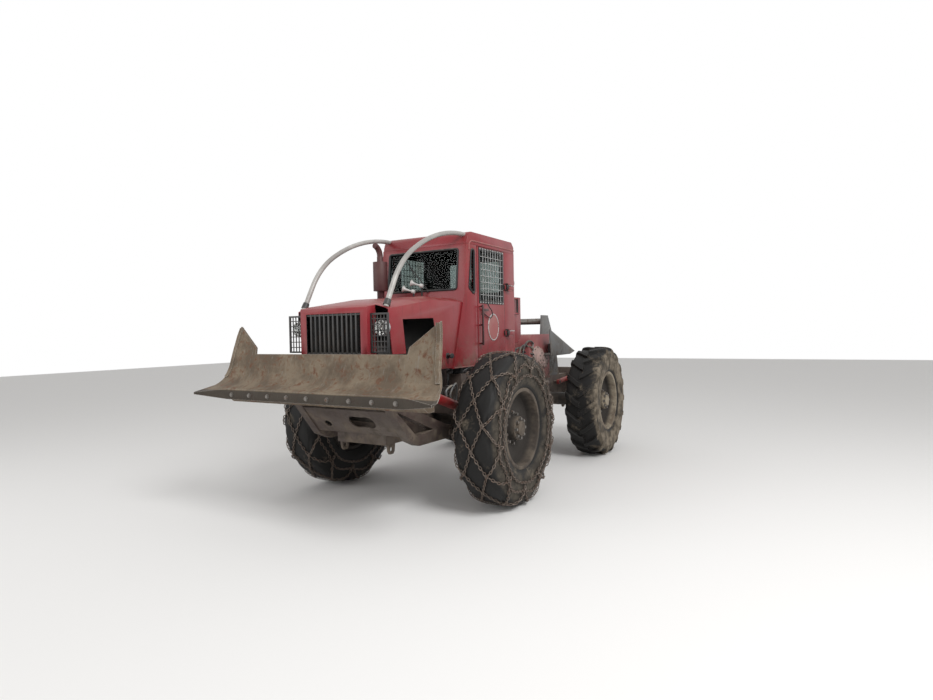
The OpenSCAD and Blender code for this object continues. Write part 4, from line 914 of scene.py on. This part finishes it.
def lug_mesh(side):
    work = bmesh.new()
    rows = []
    for y, top, foot in LUG_LINE:
        middle = -abs(y) * math.tan(LUG_SWEEP)
        rows.append([])
        for part, rise in LUG_ACROSS:
            r = foot + (top - foot) * rise
            a = (middle + part * LUG_HALF / math.cos(LUG_SWEEP)) / LUG_TOP_RADIUS
            rows[-1].append(work.verts.new(on_circle(r, a, side * y)))
    for near, far in zip(rows, rows[1:]):
        for i in range(len(LUG_ACROSS) - 1):
            work.faces.new((near[i], near[i + 1], far[i + 1], far[i]))
        work.faces.new((near[-1], near[0], far[0], far[-1]))
    work.faces.new(rows[0])
    work.faces.new(rows[-1])
    return mesh_of("lug", work)


for corner in ("rl", "rr"):
    centre, body = wheel_centre(corner), "wheel_" + corner
    carcass_mesh = lathe("carcass", full_section(LUGGED_CROWN), 96)
    carcass_mesh.transform(Matrix.Translation(centre))
    tyre = piece_of("rear_tyre_" + corner, carcass_mesh, rear_rubber, body, 50)
    halves = [
        ring.make(f"lugs_{corner}_{side}", lug_mesh(side), rear_rubber, body, centre, 50,
                  count=LUGS, turn=0.25 * (1 - side))
        for side in (1, -1)]
    joined(tyre, *halves)
    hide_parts("tyre_" + corner)
print("two rear tyres,", 4 * LUGS, "lugs")

# %% [markdown]
# The front pair is worn nearly smooth under its chains.  Its rubber swells in
# the net's cells and is pressed in under the runs.  A soft-body simulation
# could find that shape, but the runs' places are known, so each point of the
# carcass is moved by its distance from the nearest run.

# %% Front tyres, pressed in by their chains
# The net's cells round the tyre and its knots' distance from the middle.  The rubber swells by
# BULGE from PRESSED_REACH off a run.
CHAIN_CELLS = 10
CELL = 2 * math.pi / CHAIN_CELLS
KNOT_Y = 0.120
BULGE = 0.009
PRESSED_REACH = 0.055
SHOULDER_RADIUS = 0.690


def eased_crown(points, cuts=5):
    """The same crown with more points, so that the rubber can bulge between them."""
    fine = []
    for (r0, y0), (r1, y1) in zip(points, points[1:]):
        fine += [(r0 + (r1 - r0) * k / cuts, y0 + (y1 - y0) * k / cuts) for k in range(cuts)]
    return fine + [points[-1]]


def press_in(mesh):
    """Rubber swells between the runs of the net and is pressed in under them."""
    for v in mesh.vertices:
        r = math.hypot(v.co.x, v.co.z)
        if r < SHOULDER_RADIUS:
            continue
        a = (math.atan2(v.co.x, v.co.z) + CELL / 4 + CELL / 2) % CELL - CELL / 2
        reach = abs(v.co.y) / KNOT_Y
        run = CELL / 2 * (reach if reach < 1 else max(0.0, 1 - (reach - 1) * 1.6))
        gap = abs(abs(a) - run) * 0.75
        fade_in = min((r - SHOULDER_RADIUS) / 0.03, 1.0)
        swell = BULGE * (min(gap / PRESSED_REACH, 1.0) ** 2 - 0.35) * fade_in
        v.co.x *= (r + swell) / r
        v.co.z *= (r + swell) / r


for corner in ("fl", "fr"):
    carcass_mesh = lathe("carcass", full_section(eased_crown(WORN_TREAD)), 180)
    press_in(carcass_mesh)
    carcass_mesh.transform(Matrix.Translation(wheel_centre(corner)))
    tyre = piece_of("front_tyre_" + corner, carcass_mesh, front_rubber, "wheel_" + corner, 50)
    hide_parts("tyre_" + corner)
print("two front tyres with", CHAIN_CELLS, "cells round each")

# %% [markdown]
# The forest chain is a net: links run in zigzags over the tread, over both
# shoulders and down to two ring chains on each sidewall.  Each run is a line of
# points that stays a link's half height off the rubber, and stores which way
# is outward.  The recipe walks along it, sets a link at every pitch, lays it
# along the run and rolls every second one over, as real links have to lie.

# %% Chain recipe
def chain_recipe():
    r = Recipe("chain", pitch=0.033, length=0.0345, width=0.0215, wire=0.0048)
    lines = r.step("GeometryNodeMeshToCurve", Mesh=r.given["Geometry"])
    spaced = r.step("GeometryNodeResampleCurve", Curve=lines.outputs[0])
    spaced.mode = "LENGTH"
    r.join(r.given["pitch"], spaced.inputs["Length"])
    oval = r.step("GeometryNodeCurvePrimitiveQuadrilateral", Width=r.given["length"], Height=r.given["width"])
    rounded = r.step("GeometryNodeFilletCurve", {"mode": "POLY"}, Curve=oval.outputs[0], Count=2,
                     Radius=r.math("MULTIPLY", r.given["width"], 0.45))
    bar = r.step("GeometryNodeCurvePrimitiveCircle", Resolution=5, Radius=r.given["wire"])
    link = r.step("GeometryNodeCurveToMesh", Curve=rounded.outputs[0], Profile_Curve=bar.outputs[0])
    along = r.step("GeometryNodeInputTangent").outputs[0]
    outward = r.step("GeometryNodeInputNamedAttribute", {"data_type": "FLOAT_VECTOR"}, Name="outward")
    aim = r.step("FunctionNodeAlignRotationToVector", {"axis": "X"}, Vector=along)
    stand = r.step("FunctionNodeAlignRotationToVector", {"axis": "Z", "pivot_axis": "X"},
                   Rotation=aim.outputs[0], Vector=outward.outputs[0])
    index = r.step("GeometryNodeInputIndex").outputs[0]
    odd = r.math("MODULO", index, 2.0)
    roll = r.math("ADD", math.pi / 4, r.math("MULTIPLY", odd, math.pi / 2))
    euler = r.step("ShaderNodeCombineXYZ", X=roll)
    spin = r.step("FunctionNodeEulerToRotation", Euler=euler.outputs[0])
    rolled = r.step("FunctionNodeRotateRotation", {"rotation_space": "LOCAL"},
                    Rotation=stand.outputs[0], Rotate_By=spin.outputs[0])
    copies = r.step("GeometryNodeInstanceOnPoints", Points=spaced.outputs[0],
                    Instance=link.outputs[0], Rotation=rolled.outputs[0])
    return r.done(copies.outputs[0])


chain = chain_recipe()
print("recipe", chain.tree.name)

# %% [markdown]
# Each run of the net is only a list of places and ways out along the rubber.
# They come from one table, the bed, which follows the tyre's section.  So the
# net, its straps and the ring chains all lie on the same surface.

# %% Snow chains on the front tyres
# Where a chain may lie: radius, distance from the middle, and the way out
CHAIN_BED = [((0.7620, 0.000), (1.0, 0.0)), ((0.7615, 0.120), (1.0, 0.05)), ((0.752, 0.168), (0.93, 0.37)),
             ((0.735, 0.197), (0.75, 0.66)), ((0.705, 0.214), (0.45, 0.89)), ((0.665, 0.2225), (0.15, 0.99)),
             ((0.600, 0.2275), (0.0, 1.0)), ((0.520, 0.2245), (0.0, 1.0))]
# The ring chains of a side: radius, how far they sag, and their distance from the middle
RING_CHAINS = ((0.530, 0.004), (0.625, 0.022))
RING_Y = 0.2265
# Where on the bed the net ends and its short straps to the inner ring begin
STRAP_START = 6.3


def bed_point(part, angle, side):
    """A point of the bed: part runs along CHAIN_BED, angle round the axle."""
    i = min(int(part), len(CHAIN_BED) - 2)
    t = part - i
    (r0, y0), (u0, v0) = CHAIN_BED[i]
    (r1, y1), (u1, v1) = CHAIN_BED[i + 1]
    r, y, u, v = (a + (b - a) * t for a, b in ((r0, r1), (y0, y1), (u0, u1), (v0, v1)))
    return on_circle(r, angle, side * y), on_circle(u, angle, side * v)


def net_runs():
    """Every run of the net as a list of (place, outward)."""
    runs = []
    for i in range(CHAIN_CELLS):
        middle = i * CELL - CELL / 4
        for side in (1, -1):
            for way in (1, -1):
                knot = middle + way * CELL / 2
                runs.append([bed_point(t / 6, middle + (knot - middle) * t / 6, side) for t in range(7)])
                end = knot + way * CELL / 2
                parts = [k / 14 for k in range(15)]
                runs.append([
                    bed_point(1 + (STRAP_START - 1) * t, knot + (end - knot) * t, side) for t in parts])
    for side in (1, -1):
        around = [CELL * CHAIN_CELLS * k / 120 for k in range(121)]
        for radius, slack in RING_CHAINS:
            wavy = [radius + slack * math.sin(CHAIN_CELLS * a + 2.5 * math.sin(a)) for a in around]
            runs.append([(on_circle(r, a, side * RING_Y), (0.0, side, 0.0)) for r, a in zip(wavy, around)])
        for i in range(CHAIN_CELLS):
            a = i * CELL + CELL / 4 + CELL / 2
            runs.append([bed_point(STRAP_START + 0.6 * t / 3, a, side) for t in range(4)])
    return runs


for corner in ("fl", "fr"):
    runs = net_runs()
    net = wire_mesh("net", [[place for place, _ in run] for run in runs])
    ways = net.attributes.new("outward", "FLOAT_VECTOR", "POINT")
    for item, way in zip(ways.data, [way for run in runs for _, way in run]):
        item.vector = way
    links = chain.make("snow_chain_" + corner, net, chain_steel, "wheel_" + corner,
                       wheel_centre(corner), 60)
    print(links.name, len(links.data.polygons), "faces")

# %% [markdown]
# A helper for the small turned parts that aren't on a wheel: caps, knobs,
# horns and lamps.  It takes an outline of (distance along, radius) pairs and
# turns it round any direction, so one short table gives one part.  A flat
# plate is an outline as well, thickened and with eased edges.

# %% Turned parts and plates
def turned(name, outline, place, way, material, steps=24, body="front_frame", slot=None, smooth=45):
    aim = Vector(way).normalized().to_track_quat("Z", "Y").to_matrix().to_4x4()
    work = bmesh.new()
    rings = []
    for along, radius in outline:
        rings.append([
            work.verts.new((radius * math.cos(2 * math.pi * k / steps),
                            radius * math.sin(2 * math.pi * k / steps), along))
            for k in range(steps)])
    for near, far in zip(rings, rings[1:]):
        for k in range(steps):
            work.faces.new((near[k], near[(k + 1) % steps], far[(k + 1) % steps], far[k]))
    work.faces.new(rings[0])
    work.faces.new(rings[-1])
    mesh = mesh_of(name, work)
    mesh.transform(Matrix.Translation(place) @ aim)
    return piece_of(name, mesh, material, body, smooth, slot)


def plate_piece(name, outline, thickness, material, bevel, body="front_frame"):
    """A flat plate: an outline of 3-D points, thickened along its own normal, with eased edges."""
    work = bmesh.new()
    face = work.faces.new([work.verts.new(p) for p in outline])
    face.normal_update()
    up = face.normal * thickness
    grown = bmesh.ops.extrude_face_region(work, geom=[face])
    bmesh.ops.translate(work, vec=up, verts=[v for v in grown["geom"] if isinstance(v, bmesh.types.BMVert)])
    bmesh.ops.recalc_face_normals(work, faces=work.faces)
    if bevel:
        bmesh.ops.bevel(work, geom=work.edges[:], offset=bevel, segments=2, affect="EDGES")
    return piece_of(name, mesh_of(name, work, False), material, body)


def box_piece(name, low, high, material, bevel):
    (x0, y0, z0), (x1, y1, z1) = low, high
    foot = [(x0, y0, z0), (x1, y0, z0), (x1, y1, z0), (x0, y1, z0)]
    return plate_piece(name, foot, z1 - z0, material, bevel)


def mirrored(points):
    """The same line on the machine's other side."""
    return [(x, -y, z) for x, y, z in points]


print("across the middle plane:", mirrored([(0.1, 0.2, 0.3)]))

# %% [markdown]
# Every window sits in a black rubber channel that shows as a line round the
# opening.  A loop through the opening's corners goes into the tube recipe,
# which also rounds the corners.  The roof's rain gutter is the same tube in
# paint.  Thin strips edge the cab's foot and hinges, and a black sheet closes
# the cab off behind the engine: painted shade for the dark engine bay.

# %% Window rubbers and the roof's gutter
door_in, door_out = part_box("door_left_glass")
SCREEN_LOW, SCREEN_HIGH, SCREEN_HALF = 2.210, 2.650, 0.460


def screen_x(z):
    """Where the leaning windscreen's outer face is at a height."""
    return 0.950 - (z - 2.180) * 0.107


screen_loop = [(screen_x(z) - 0.002, y, z) for y, z in (
    (-SCREEN_HALF, SCREEN_LOW), (SCREEN_HALF, SCREEN_LOW),
    (SCREEN_HALF, SCREEN_HIGH), (-SCREEN_HALF, SCREEN_HIGH))]
rear_loop = [(-0.268, y, z) for y, z in ((-0.38, 2.23), (0.38, 2.23), (0.38, 2.64), (-0.38, 2.64))]
quarter_loop = [(0.795, 0.558, 2.650), (0.855, 0.558, 2.230), (0.730, 0.558, 2.150), (0.730, 0.558, 2.650)]
loops = [screen_loop, rear_loop, quarter_loop, mirrored(quarter_loop)]
tubes("window_rubbers", loops, black_rubber, 0.0125, corner=0.03, closed=True)
window = [(door_in[0], door_in[2]), (door_out[0], door_in[2]),
          (door_out[0], door_out[2]), (door_in[0], door_out[2])]
SIDES = ((1, "left"), (-1, "right"))
for side, name in SIDES:
    loop = [(x, side * 0.553, z) for x, z in window]
    tubes(f"door_rubber_{name}", [loop], black_rubber, 0.0115, corner=0.02, body=name + "_door", closed=True)
gutter = [(0.845, 0.562, 2.640), (0.842, 0.562, 2.712), (0.790, 0.562, 2.742), (-0.262, 0.562, 2.742)]
tubes("roof_gutter", [gutter, mirrored(gutter)], faded_plate, 0.009, corner=0.03)
flange_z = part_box("cab_body")[0][2] + 0.002
for side, _ in SIDES:
    near, far = sorted((side * 0.5605, side * 0.5665))
    box_piece("cab_flange", (-0.262, near, flange_z), (1.185, far, flange_z + 0.014), faded_plate, 0.0015)
    near, far = sorted((side * 0.5725, side * 0.5770))
    for z in (1.750, 2.300):
        box_piece("hinge_lip", (-0.240, near, z), (-0.090, far, z + 0.008), zinc, 0.001)
# A black sheet in front of the cab's wall: painted shade for the dark engine bay
WALL_LOW, WALL_HIGH, WALL_HALF = 1.395, 2.060, 0.535
wall_x = {z: 1.206 - (z - 1.370) * 0.3086 for z in (WALL_LOW, WALL_HIGH)}
wall = [(wall_x[z], y, z) for y, z in ((-WALL_HALF, WALL_LOW), (WALL_HALF, WALL_LOW), (WALL_HALF, WALL_HIGH),
                                       (-WALL_HALF, WALL_HIGH))]
plate_piece("firewall", wall, 0.006, black_paint, 0.0)
print("rubbers round", len(loops) + len(SIDES), "windows")

# %% [markdown]
# The door's guard is riveted down: a row of bright rivets over and under the
# window.  Below it each door has a bare oval plate with a raised rim.  On the
# left a wiring loop hangs out of the guard.

# %% Rivets, bare oval plates and a wiring loop on the doors
GUARD_X = [0.058 + i * 0.061 for i in range(10)]
OVAL_Y = 0.5602
for side, name in SIDES:
    door = name + "_door"
    rivets = [((x, side * 0.5665, z), (0, side, 0)) for x in GUARD_X for z in (2.675, 2.080)]
    bolt_set(f"guard_rivets_{name}", rivets, 0.0065, 0.005, 0.0105, zinc, door)
    oval = [(0.30 + 0.125 * math.cos(a), side * OVAL_Y, 1.800 + 0.150 * math.sin(a))
            for a in [2 * math.pi * k / 36 for k in range(36)]]
    if side < 0:
        oval.reverse()
    plate_piece(f"oval_plate_{name}", oval[::-1], 0.004, faded_plate, 0.001, door)
    tubes(f"oval_rim_{name}", [oval], zinc, 0.008, body=door, closed=True)
wiring = smooth_route([
    (0.46, 0.567, 2.09), (0.44, 0.585, 2.03), (0.39, 0.590, 1.985), (0.375, 0.588, 1.93),
    (0.42, 0.583, 1.905), (0.50, 0.578, 1.93), (0.56, 0.571, 1.96), (0.585, 0.562, 1.945)])
tubes("door_wiring", [wiring], black_rubber, 0.006, 6, body="left_door")
print(2 * len(GUARD_X), "rivets a door")

# %% [markdown]
# Wheel nuts, the blade's plough bolts and the winch covers' screws all come
# from the bolts recipe: each is a list of places round a circle or along a
# line, with the direction that its head faces.

# %% Nuts and bolts
def circle_of(place, side, radius, count):
    angles = [2 * math.pi * k / count for k in range(count)]
    x, y, z = place
    return [((x + radius * math.sin(a), y, z + radius * math.cos(a)), (0, side, 0)) for a in angles]


for corner in ("fl", "fr", "rl", "rr"):
    side = 1 if corner[1] == "l" else -1
    x, y, z = wheel_centre(corner)
    studs = circle_of((x, y + side * 0.053, z), side, 0.157, 10)
    studs += circle_of((x, y + side * 0.137, z), side, 0.096, 8)
    bolt_set("wheel_nuts_" + corner, studs, 0.0155, 0.020, 0.020, body="wheel_" + corner)
edge_bolts = [((2.7305, y, 1.196), (1, 0, 0)) for y in [-0.96 + 0.24 * i for i in range(9)]]
bolt_set("edge_bolts", edge_bolts, 0.017, 0.012, 0.022, body="blade_carrier")
COVER_X, COVER_Z = -1.260, 1.370
covers = []
for side, _ in SIDES:
    covers += circle_of((COVER_X, side * 0.4385, COVER_Z), side, 0.150, 10)
    covers += circle_of((COVER_X, side * 0.4985, COVER_Z), side, 0.070, 6)
    covers += circle_of((COVER_X - 0.240, side * 0.4505, COVER_Z - 0.060), side, 0.068, 6)
bolt_set("winch_bolts", covers, 0.008, 0.007, 0.012, body="rear_frame")
print(len(edge_bolts), "plough bolts,", len(covers), "cover screws")

# %% [markdown]
# Hydraulic hoses carry the oil across the joint between the two frames.  They
# leave a fitting on the front frame, arch over the kingpins and come down to
# the rear frame, with enough slack to steer.  The bundle itself is on neither
# frame and stays where it is laid.  More hoses loop at the winch and reach the
# lift cylinders beside the front frame.

# %% Hoses over the articulation
HOSE_RADIUS = 0.0135
FERRULE = [(-0.004, 0.019), (0.012, 0.019), (0.014, 0.0165), (0.052, 0.0165), (0.056, 0.0150),
           (0.058, 0.0150)]


def hose_set(name, routes, body, radius=HOSE_RADIUS, material=hose_rubber):
    return tubes(name, routes, material, radius, 10, body=body)


def fittings(name, ends, body):
    """Crimped fittings as one piece, from (tip, direction into the hose) pairs."""
    joined(*[turned(name + "_fitting", FERRULE, tip, way, zinc, 10, body) for tip, way in ends])


# Columns: distance from the middle, how far the hose leans out, how much higher it arches
JOINT_HOSES = ((0.115, 1, 0.00), (0.062, 0.4, 0.03), (0.005, 0, 0.012), (-0.055, -0.6, 0.035),
               (-0.110, -1, 0.0))
across_joint = [smooth_route([
    (-0.045, y, 1.062), (-0.065, y + 0.01, 1.150), (-0.190, y + 0.03 * lean, 1.235 + rise),
    (-0.360, y + 0.045 * lean, 1.262 + rise), (-0.520, y + 0.03 * lean, 1.235 + rise),
    (-0.630, y + 0.01, 1.150), (-0.650, y, 1.062)]) for y, lean, rise in JOINT_HOSES]
over_joint = hose_set("joint_hoses", across_joint, None)
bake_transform(over_joint)
for name, x in (("front", -0.045), ("rear", -0.650)):
    fittings(name, [((x, y, 1.060), (0, 0, 1)) for y, _, _ in JOINT_HOSES], name + "_frame")
winch_lines = [smooth_route([
    (-1.002, y, 1.215 + s), (-0.880 + s, y + 0.04, 1.235), (-0.755 + s, y + 0.06, 1.360),
    (-0.770 + s, y + 0.065, 1.500), (-0.890, y + 0.06, 1.595 - s), (-1.000, y + 0.06, 1.610 - 2 * s),
    (-1.080, 0.445, 1.580 - 2 * s), (-1.120, 0.4205, 1.540 - 2 * s)])
    for y, s in ((0.380, 0.0), (0.345, 0.035), (0.300, 0.075))]
hose_set("winch_hoses", winch_lines, "rear_frame")
tips = [(line[i], line[j] - line[i]) for line in winch_lines for i, j in ((0, 1), (-1, -2))]
fittings("winch_hoses", tips, "rear_frame")
lift_routes = [
    [(1.170, 0.560, 1.022), (1.160, 0.566, 1.100), (1.235, 0.610, 1.215), (1.360, 0.655, 1.210),
     (1.425, 0.655, 1.140), (1.417, 0.652, 1.086)],
    [(1.215, 0.560, 1.022), (1.220, 0.570, 1.085), (1.300, 0.625, 1.160), (1.400, 0.660, 1.215),
     (1.500, 0.655, 1.175), (1.497, 0.652, 1.112)]]
lift_lines = [smooth_route(route) for route in lift_routes + [mirrored(route) for route in lift_routes]]
lift_hoses = hose_set("lift_hoses", lift_lines, None, 0.011, grey_hose)
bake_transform(lift_hoses)
print("hoses:", len(across_joint), "over the joint,", len(winch_lines), "at the winch")

# %% [markdown]
# The winch rope lies in tight turns on the drum, two layers deep.  Its line is
# a helix, whose advance in one turn is the rope's own thickness.

# %% Rope on the winch drum
ROPE_RADIUS = 0.0085
DRUM_PLACE = Vector((-1.930, 0.0, 1.330))
DRUM_CORE = 0.110
TURN_STEPS = 26


def wound(y0, y1, radius):
    turns = int(abs(y1 - y0) / (2.05 * ROPE_RADIUS))
    steps = turns * TURN_STEPS
    parts = [k / steps for k in range(steps + 1)]
    return [DRUM_PLACE + Vector(on_circle(radius, 2 * math.pi * turns * t, y0 + (y1 - y0) * t))
            for t in parts]


DRUM_HALVES = ((-0.250, -0.010), (0.010, 0.250))
coils = [wound(y0 + 0.008, y1 - 0.008, DRUM_CORE + ROPE_RADIUS) for y0, y1 in DRUM_HALVES]
coils += [wound(y0 + 0.012, y1 - 0.060, DRUM_CORE + 2.8 * ROPE_RADIUS) for y0, y1 in DRUM_HALVES]
tubes("winch_rope", coils, worn_steel, ROPE_RADIUS, 6, body="drums")
print("rope turns", sum(len(coil) // TURN_STEPS for coil in coils))

# %% [markdown]
# Two bent tubes keep branches off the windscreen.  Each rises steeply from
# the hood's nose through a tight bend, then runs back in a long easy bend to
# the roof.  The line is made from the two arcs, and the tube recipe gives it
# a body with no joints; a welded foot closes its lower end.

# %% Brush guard tubes
TUBE_RADIUS = 0.024
ROOF_END = Vector((0.860, 0.0, 2.806))
EASY_BEND, TIGHT_BEND = 1.800, 0.850
SPLIT, LEAN = math.radians(32), math.radians(62)
FOOT_Z = 1.985


def guard_line(y):
    """From the roof forward over the easy bend, round the tight bend and down to the hood."""
    def out(a):
        return Vector(on_circle(1.0, a))

    easy = ROOF_END - Vector((0, 0, EASY_BEND))
    line = [easy + EASY_BEND * out(a) for a in [SPLIT * k / 10 - 0.03 for k in range(11)] + [SPLIT]]
    tight = line[-1] - TIGHT_BEND * out(SPLIT)
    line += [tight + TIGHT_BEND * out(a) for a in [SPLIT + (LEAN - SPLIT) * k / 8 for k in range(1, 9)]]
    drop = line[-1].z - FOOT_Z
    line.append(line[-1] + Vector((drop / math.tan(LEAN), 0, -drop)))
    return [point + Vector((0, y, 0)) for point in line]


lines = [guard_line(side * 0.500) for side, _ in SIDES]
guards = tubes("brush_tubes", lines, pale_tube, TUBE_RADIUS, 18)
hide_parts("brush_guards")
FOOT_OUTLINE = [(0.0, 0.030), (0.045, 0.033), (0.055, 0.033)]
FOOT_REACH = 0.075
feet = []
for line in lines:
    down = (line[-1] - line[-2]).normalized()
    feet.append(turned("tube_foot", FOOT_OUTLINE, line[-1] - down * FOOT_REACH, down, black_paint, 18))
joined(*feet)
print("guard tube", round(sum((b - a).length for a, b in zip(lines[0], lines[0][1:])), 2), "m a side")

# %% [markdown]
# Behind the grille bars one looks at the radiator core: a stack of thin fins.
# One fin and the row recipe give them all.  The lamps beside the grille get a
# domed glass over a bright bowl.  Horns, latch, cap and rear lamp are turned
# from their own outlines in the same way.

# %% Radiator core, lamps and horns
core_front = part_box("radiator")[1][0]
grille_low, grille_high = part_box("grille")
middle_z, fin_height = (grille_low[2] + grille_high[2]) / 2, grille_high[2] - grille_low[2] - 0.03
fin_box = bmesh.new()
bmesh.ops.create_cube(fin_box, size=1.0, matrix=Matrix.Translation((core_front + 0.0042, -0.315, middle_z))
                      @ Matrix.Diagonal((0.008, 0.0022, fin_height, 1.0)))
row.make("radiator_fins", mesh_of("fin", fin_box, False), fin_metal, count=71, step_y=0.009)
BOWL = [(-0.001, 0.066), (0.008, 0.068), (0.013, 0.066), (0.013, 0.058), (0.001, 0.020), (0.000, 0.012)]
DOME = [(0.0095, 0.060), (0.014, 0.0595), (0.020, 0.048), (0.0235, 0.030), (0.0245, 0.010)]
for side, name in SIDES:
    place = (2.3105, side * 0.500, 1.800)
    turned("lamp_bowl_" + name, BOWL, place, (1, 0, 0), zinc, 32)
    turned("lamp_lens_" + name, DOME, place, (1, 0, 0), lamp_glass, 32)
HORN = [(0.0, 0.022), (0.025, 0.026), (0.050, 0.024), (0.060, 0.010), (0.120, 0.012), (0.165, 0.020),
        (0.190, 0.036), (0.196, 0.042), (0.199, 0.041), (0.185, 0.026), (0.150, 0.012)]
horn_line = [(along * 0.72, radius * 0.90) for along, radius in HORN]
for i, (x, y, z) in enumerate(((1.000, 0.060, 2.262), (1.030, -0.030, 2.200))):
    turned(f"horn_{i + 1}", horn_line, (x, y, z), (0.22, -0.93, 0.28), horn_enamel, 20)
    post = [(x, y - 0.015, 2.105), (x, y - 0.015, z - 0.008)]
    tubes(f"horn_post_{i + 1}", [post], black_rubber, 0.010, slot="black_paint")
LATCH = [(0.0, 0.030), (0.010, 0.030), (0.014, 0.018), (0.055, 0.018), (0.062, 0.026), (0.080, 0.026),
         (0.084, 0.010)]
turned("hood_latch", LATCH, (1.300, 0.549, 1.510), (0.35, 1.0, 0.0), black_rubber, 16, slot="black_paint")
REAR_LAMP = [(0.0, 0.020), (0.020, 0.046), (0.034, 0.048), (0.042, 0.046), (0.044, 0.020)]
turned("rear_lamp", REAR_LAMP, (-0.272, 0.500, 2.350), (-1, 0.15, 0), zinc)
CAP = [(0.0, 0.052), (0.012, 0.052), (0.014, 0.058), (0.030, 0.058), (0.036, 0.050), (0.037, 0.012)]
turned("tank_cap", CAP, (-0.430, 0.300, 2.180), (0, 0, 1), black_rubber, 12, slot="black_paint", smooth=30)
# Columns: height, distance from the middle, distance in front of the screen
arm = [(2.205, 0.10, 0.012, 2.190), (2.24, 0.08, 0.016, 2.240), (2.50, -0.16, 0.014, 2.500)]
wiper = [(screen_x(z) + gap, y, top) for z, y, gap, top in arm]
wiper_blade = [(screen_x(z) + 0.007, y, z) for z, y in ((2.360, -0.075), (2.620, -0.245))]
tubes("wiper", [wiper, wiper_blade], black_rubber, 0.0055, 6, slot="black_paint")
print("lamps, horns, wiper and cap ready")

# %% [markdown]
# The driver's seat is the one soft thing here.  A foam cushion is a crowned
# block: its faces swell in the middle, its sides pull in a little between the
# corners and sewn channels press lines into its top.  Each rule moves the
# points of a finely cut cube.

# %% Seat
def cushion(name, low, high, material, lean=0.0, channels=(-0.34, 0.34)):
    centre = (Vector(low) + Vector(high)) / 2
    half = (Vector(high) - Vector(low)) / 2
    work = bmesh.new()
    bmesh.ops.create_cube(work, size=2.0)
    bmesh.ops.subdivide_edges(work, edges=work.edges[:], cuts=21, use_grid_fill=True)
    thin = min(range(3), key=lambda i: half[i])
    wide, long = [i for i in range(3) if i != thin]
    for v in work.verts:
        a, b, c = v.co[wide], v.co[long], v.co[thin]
        round_off = max(0.0, (1 - abs(a) ** 5) * (1 - abs(b) ** 5)) ** 0.42
        swell = 0.52 + 0.48 * round_off
        sewn = sum(math.exp(-((b - channel) / 0.055) ** 2) for channel in channels)
        pinch = 1 - 0.035 * (1 - c * c)
        v.co[thin] = c * swell - 0.10 * sewn * (1 if c > 0 else -1) * abs(c) ** 4 * round_off
        v.co[wide] = a * (1 - 0.030 * (1 - b * b)) * (1 - 0.06 * abs(c) ** 3)
        v.co[long] = b * (1 - 0.030 * (1 - a * a)) * (1 - 0.06 * abs(c) ** 3)
        # The piped seam stands proud round the side's middle
        if abs(c) < 0.5:
            v.co[wide] *= 1 / pinch
    for v in work.verts:
        v.co = Vector([v.co[i] * half[i] for i in range(3)])
    mesh = mesh_of(name, work)
    mesh.transform(Matrix.Translation(centre) @ Matrix.Rotation(math.radians(lean), 4, "Y"))
    piece_of(name, mesh, material, "front_frame", 60)


seat_base = box_piece("seat_pedestal", (0.075, -0.150, 1.412), (0.345, 0.150, 1.735), black_vinyl, 0.012)
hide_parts("seat")
cushion("seat_cushion", (-0.015, -0.235, 1.738), (0.465, 0.235, 1.862), black_vinyl)
cushion("seat_back", (-0.035, -0.230, 1.850), (0.075, 0.230, 2.250), black_vinyl, -8)
cushion("head_rest", (-0.075, -0.130, 2.245), (0.010, 0.130, 2.400), pale_cloth, -8, ())
print("seat ready")

# %% [markdown]
# Studio: a pale floor and one even, soft light from all round, with a larger
# panel from the upper left to give the forms a lit and a shaded side.  The
# background is white only for rays that come from the camera, or through glass
# or off chrome, so it doesn't pour extra light on the object.

# %% Floor and light
FLOOR_SIZE = 60.0
AMBIENT = 0.54
KEY_POWER = 660.0
FILL_POWER = 170.0

floor_mesh = bpy.data.meshes.new("studio_floor")
half = FLOOR_SIZE / 2
corners = [(-half, -half, 0), (half, -half, 0), (half, half, 0), (-half, half, 0)]
floor_mesh.from_pydata(corners, [], [(0, 1, 2, 3)])
floor = placed("studio_floor", floor_mesh)
pale_floor = Finish("pale_floor", 0.9)
pale_floor.colour((0.86, 0.855, 0.845))
floor_mesh.materials.append(pale_floor.material)


def soft_panel(name, place, target, size, power):
    data = bpy.data.lights.new(name, "AREA")
    data.shape = "DISK"
    data.size = size
    data.energy = power
    aim = (Vector(target) - Vector(place)).to_track_quat("-Z", "Y")
    placed(name, data).matrix_world = Matrix.Translation(place) @ aim.to_matrix().to_4x4()


soft_panel("key_panel", (4.5, 7.5, 8.0), (0.2, 0.0, 1.0), 4.5, KEY_POWER)
soft_panel("fill_panel", (9.0, -5.0, 4.5), (0.5, 0.0, 1.0), 5.0, FILL_POWER)

world = bpy.data.worlds.new("studio")
world.use_nodes = True
sky = NodeTree(world.node_tree)
rays = sky.step("ShaderNodeLightPath").outputs
seen = sky.math("MAXIMUM", rays["Is Camera Ray"], rays["Is Glossy Ray"])
seen = sky.math("MAXIMUM", seen, rays["Is Transmission Ray"])
lit = sky.step("ShaderNodeBackground", Color=(1.0, 0.99, 0.98), Strength=AMBIENT)
shown = sky.step("ShaderNodeBackground", Color=(1.0, 1.0, 1.0))
choose = sky.step("ShaderNodeMixShader")
for socket, source in zip(choose.inputs, (seen, lit.outputs[0], shown.outputs[0])):
    sky.join(source, socket)
sky.step("ShaderNodeOutputWorld", Surface=choose.outputs[0])
bpy.context.scene.world = world
bpy.context.scene.view_settings.view_transform = "Standard"
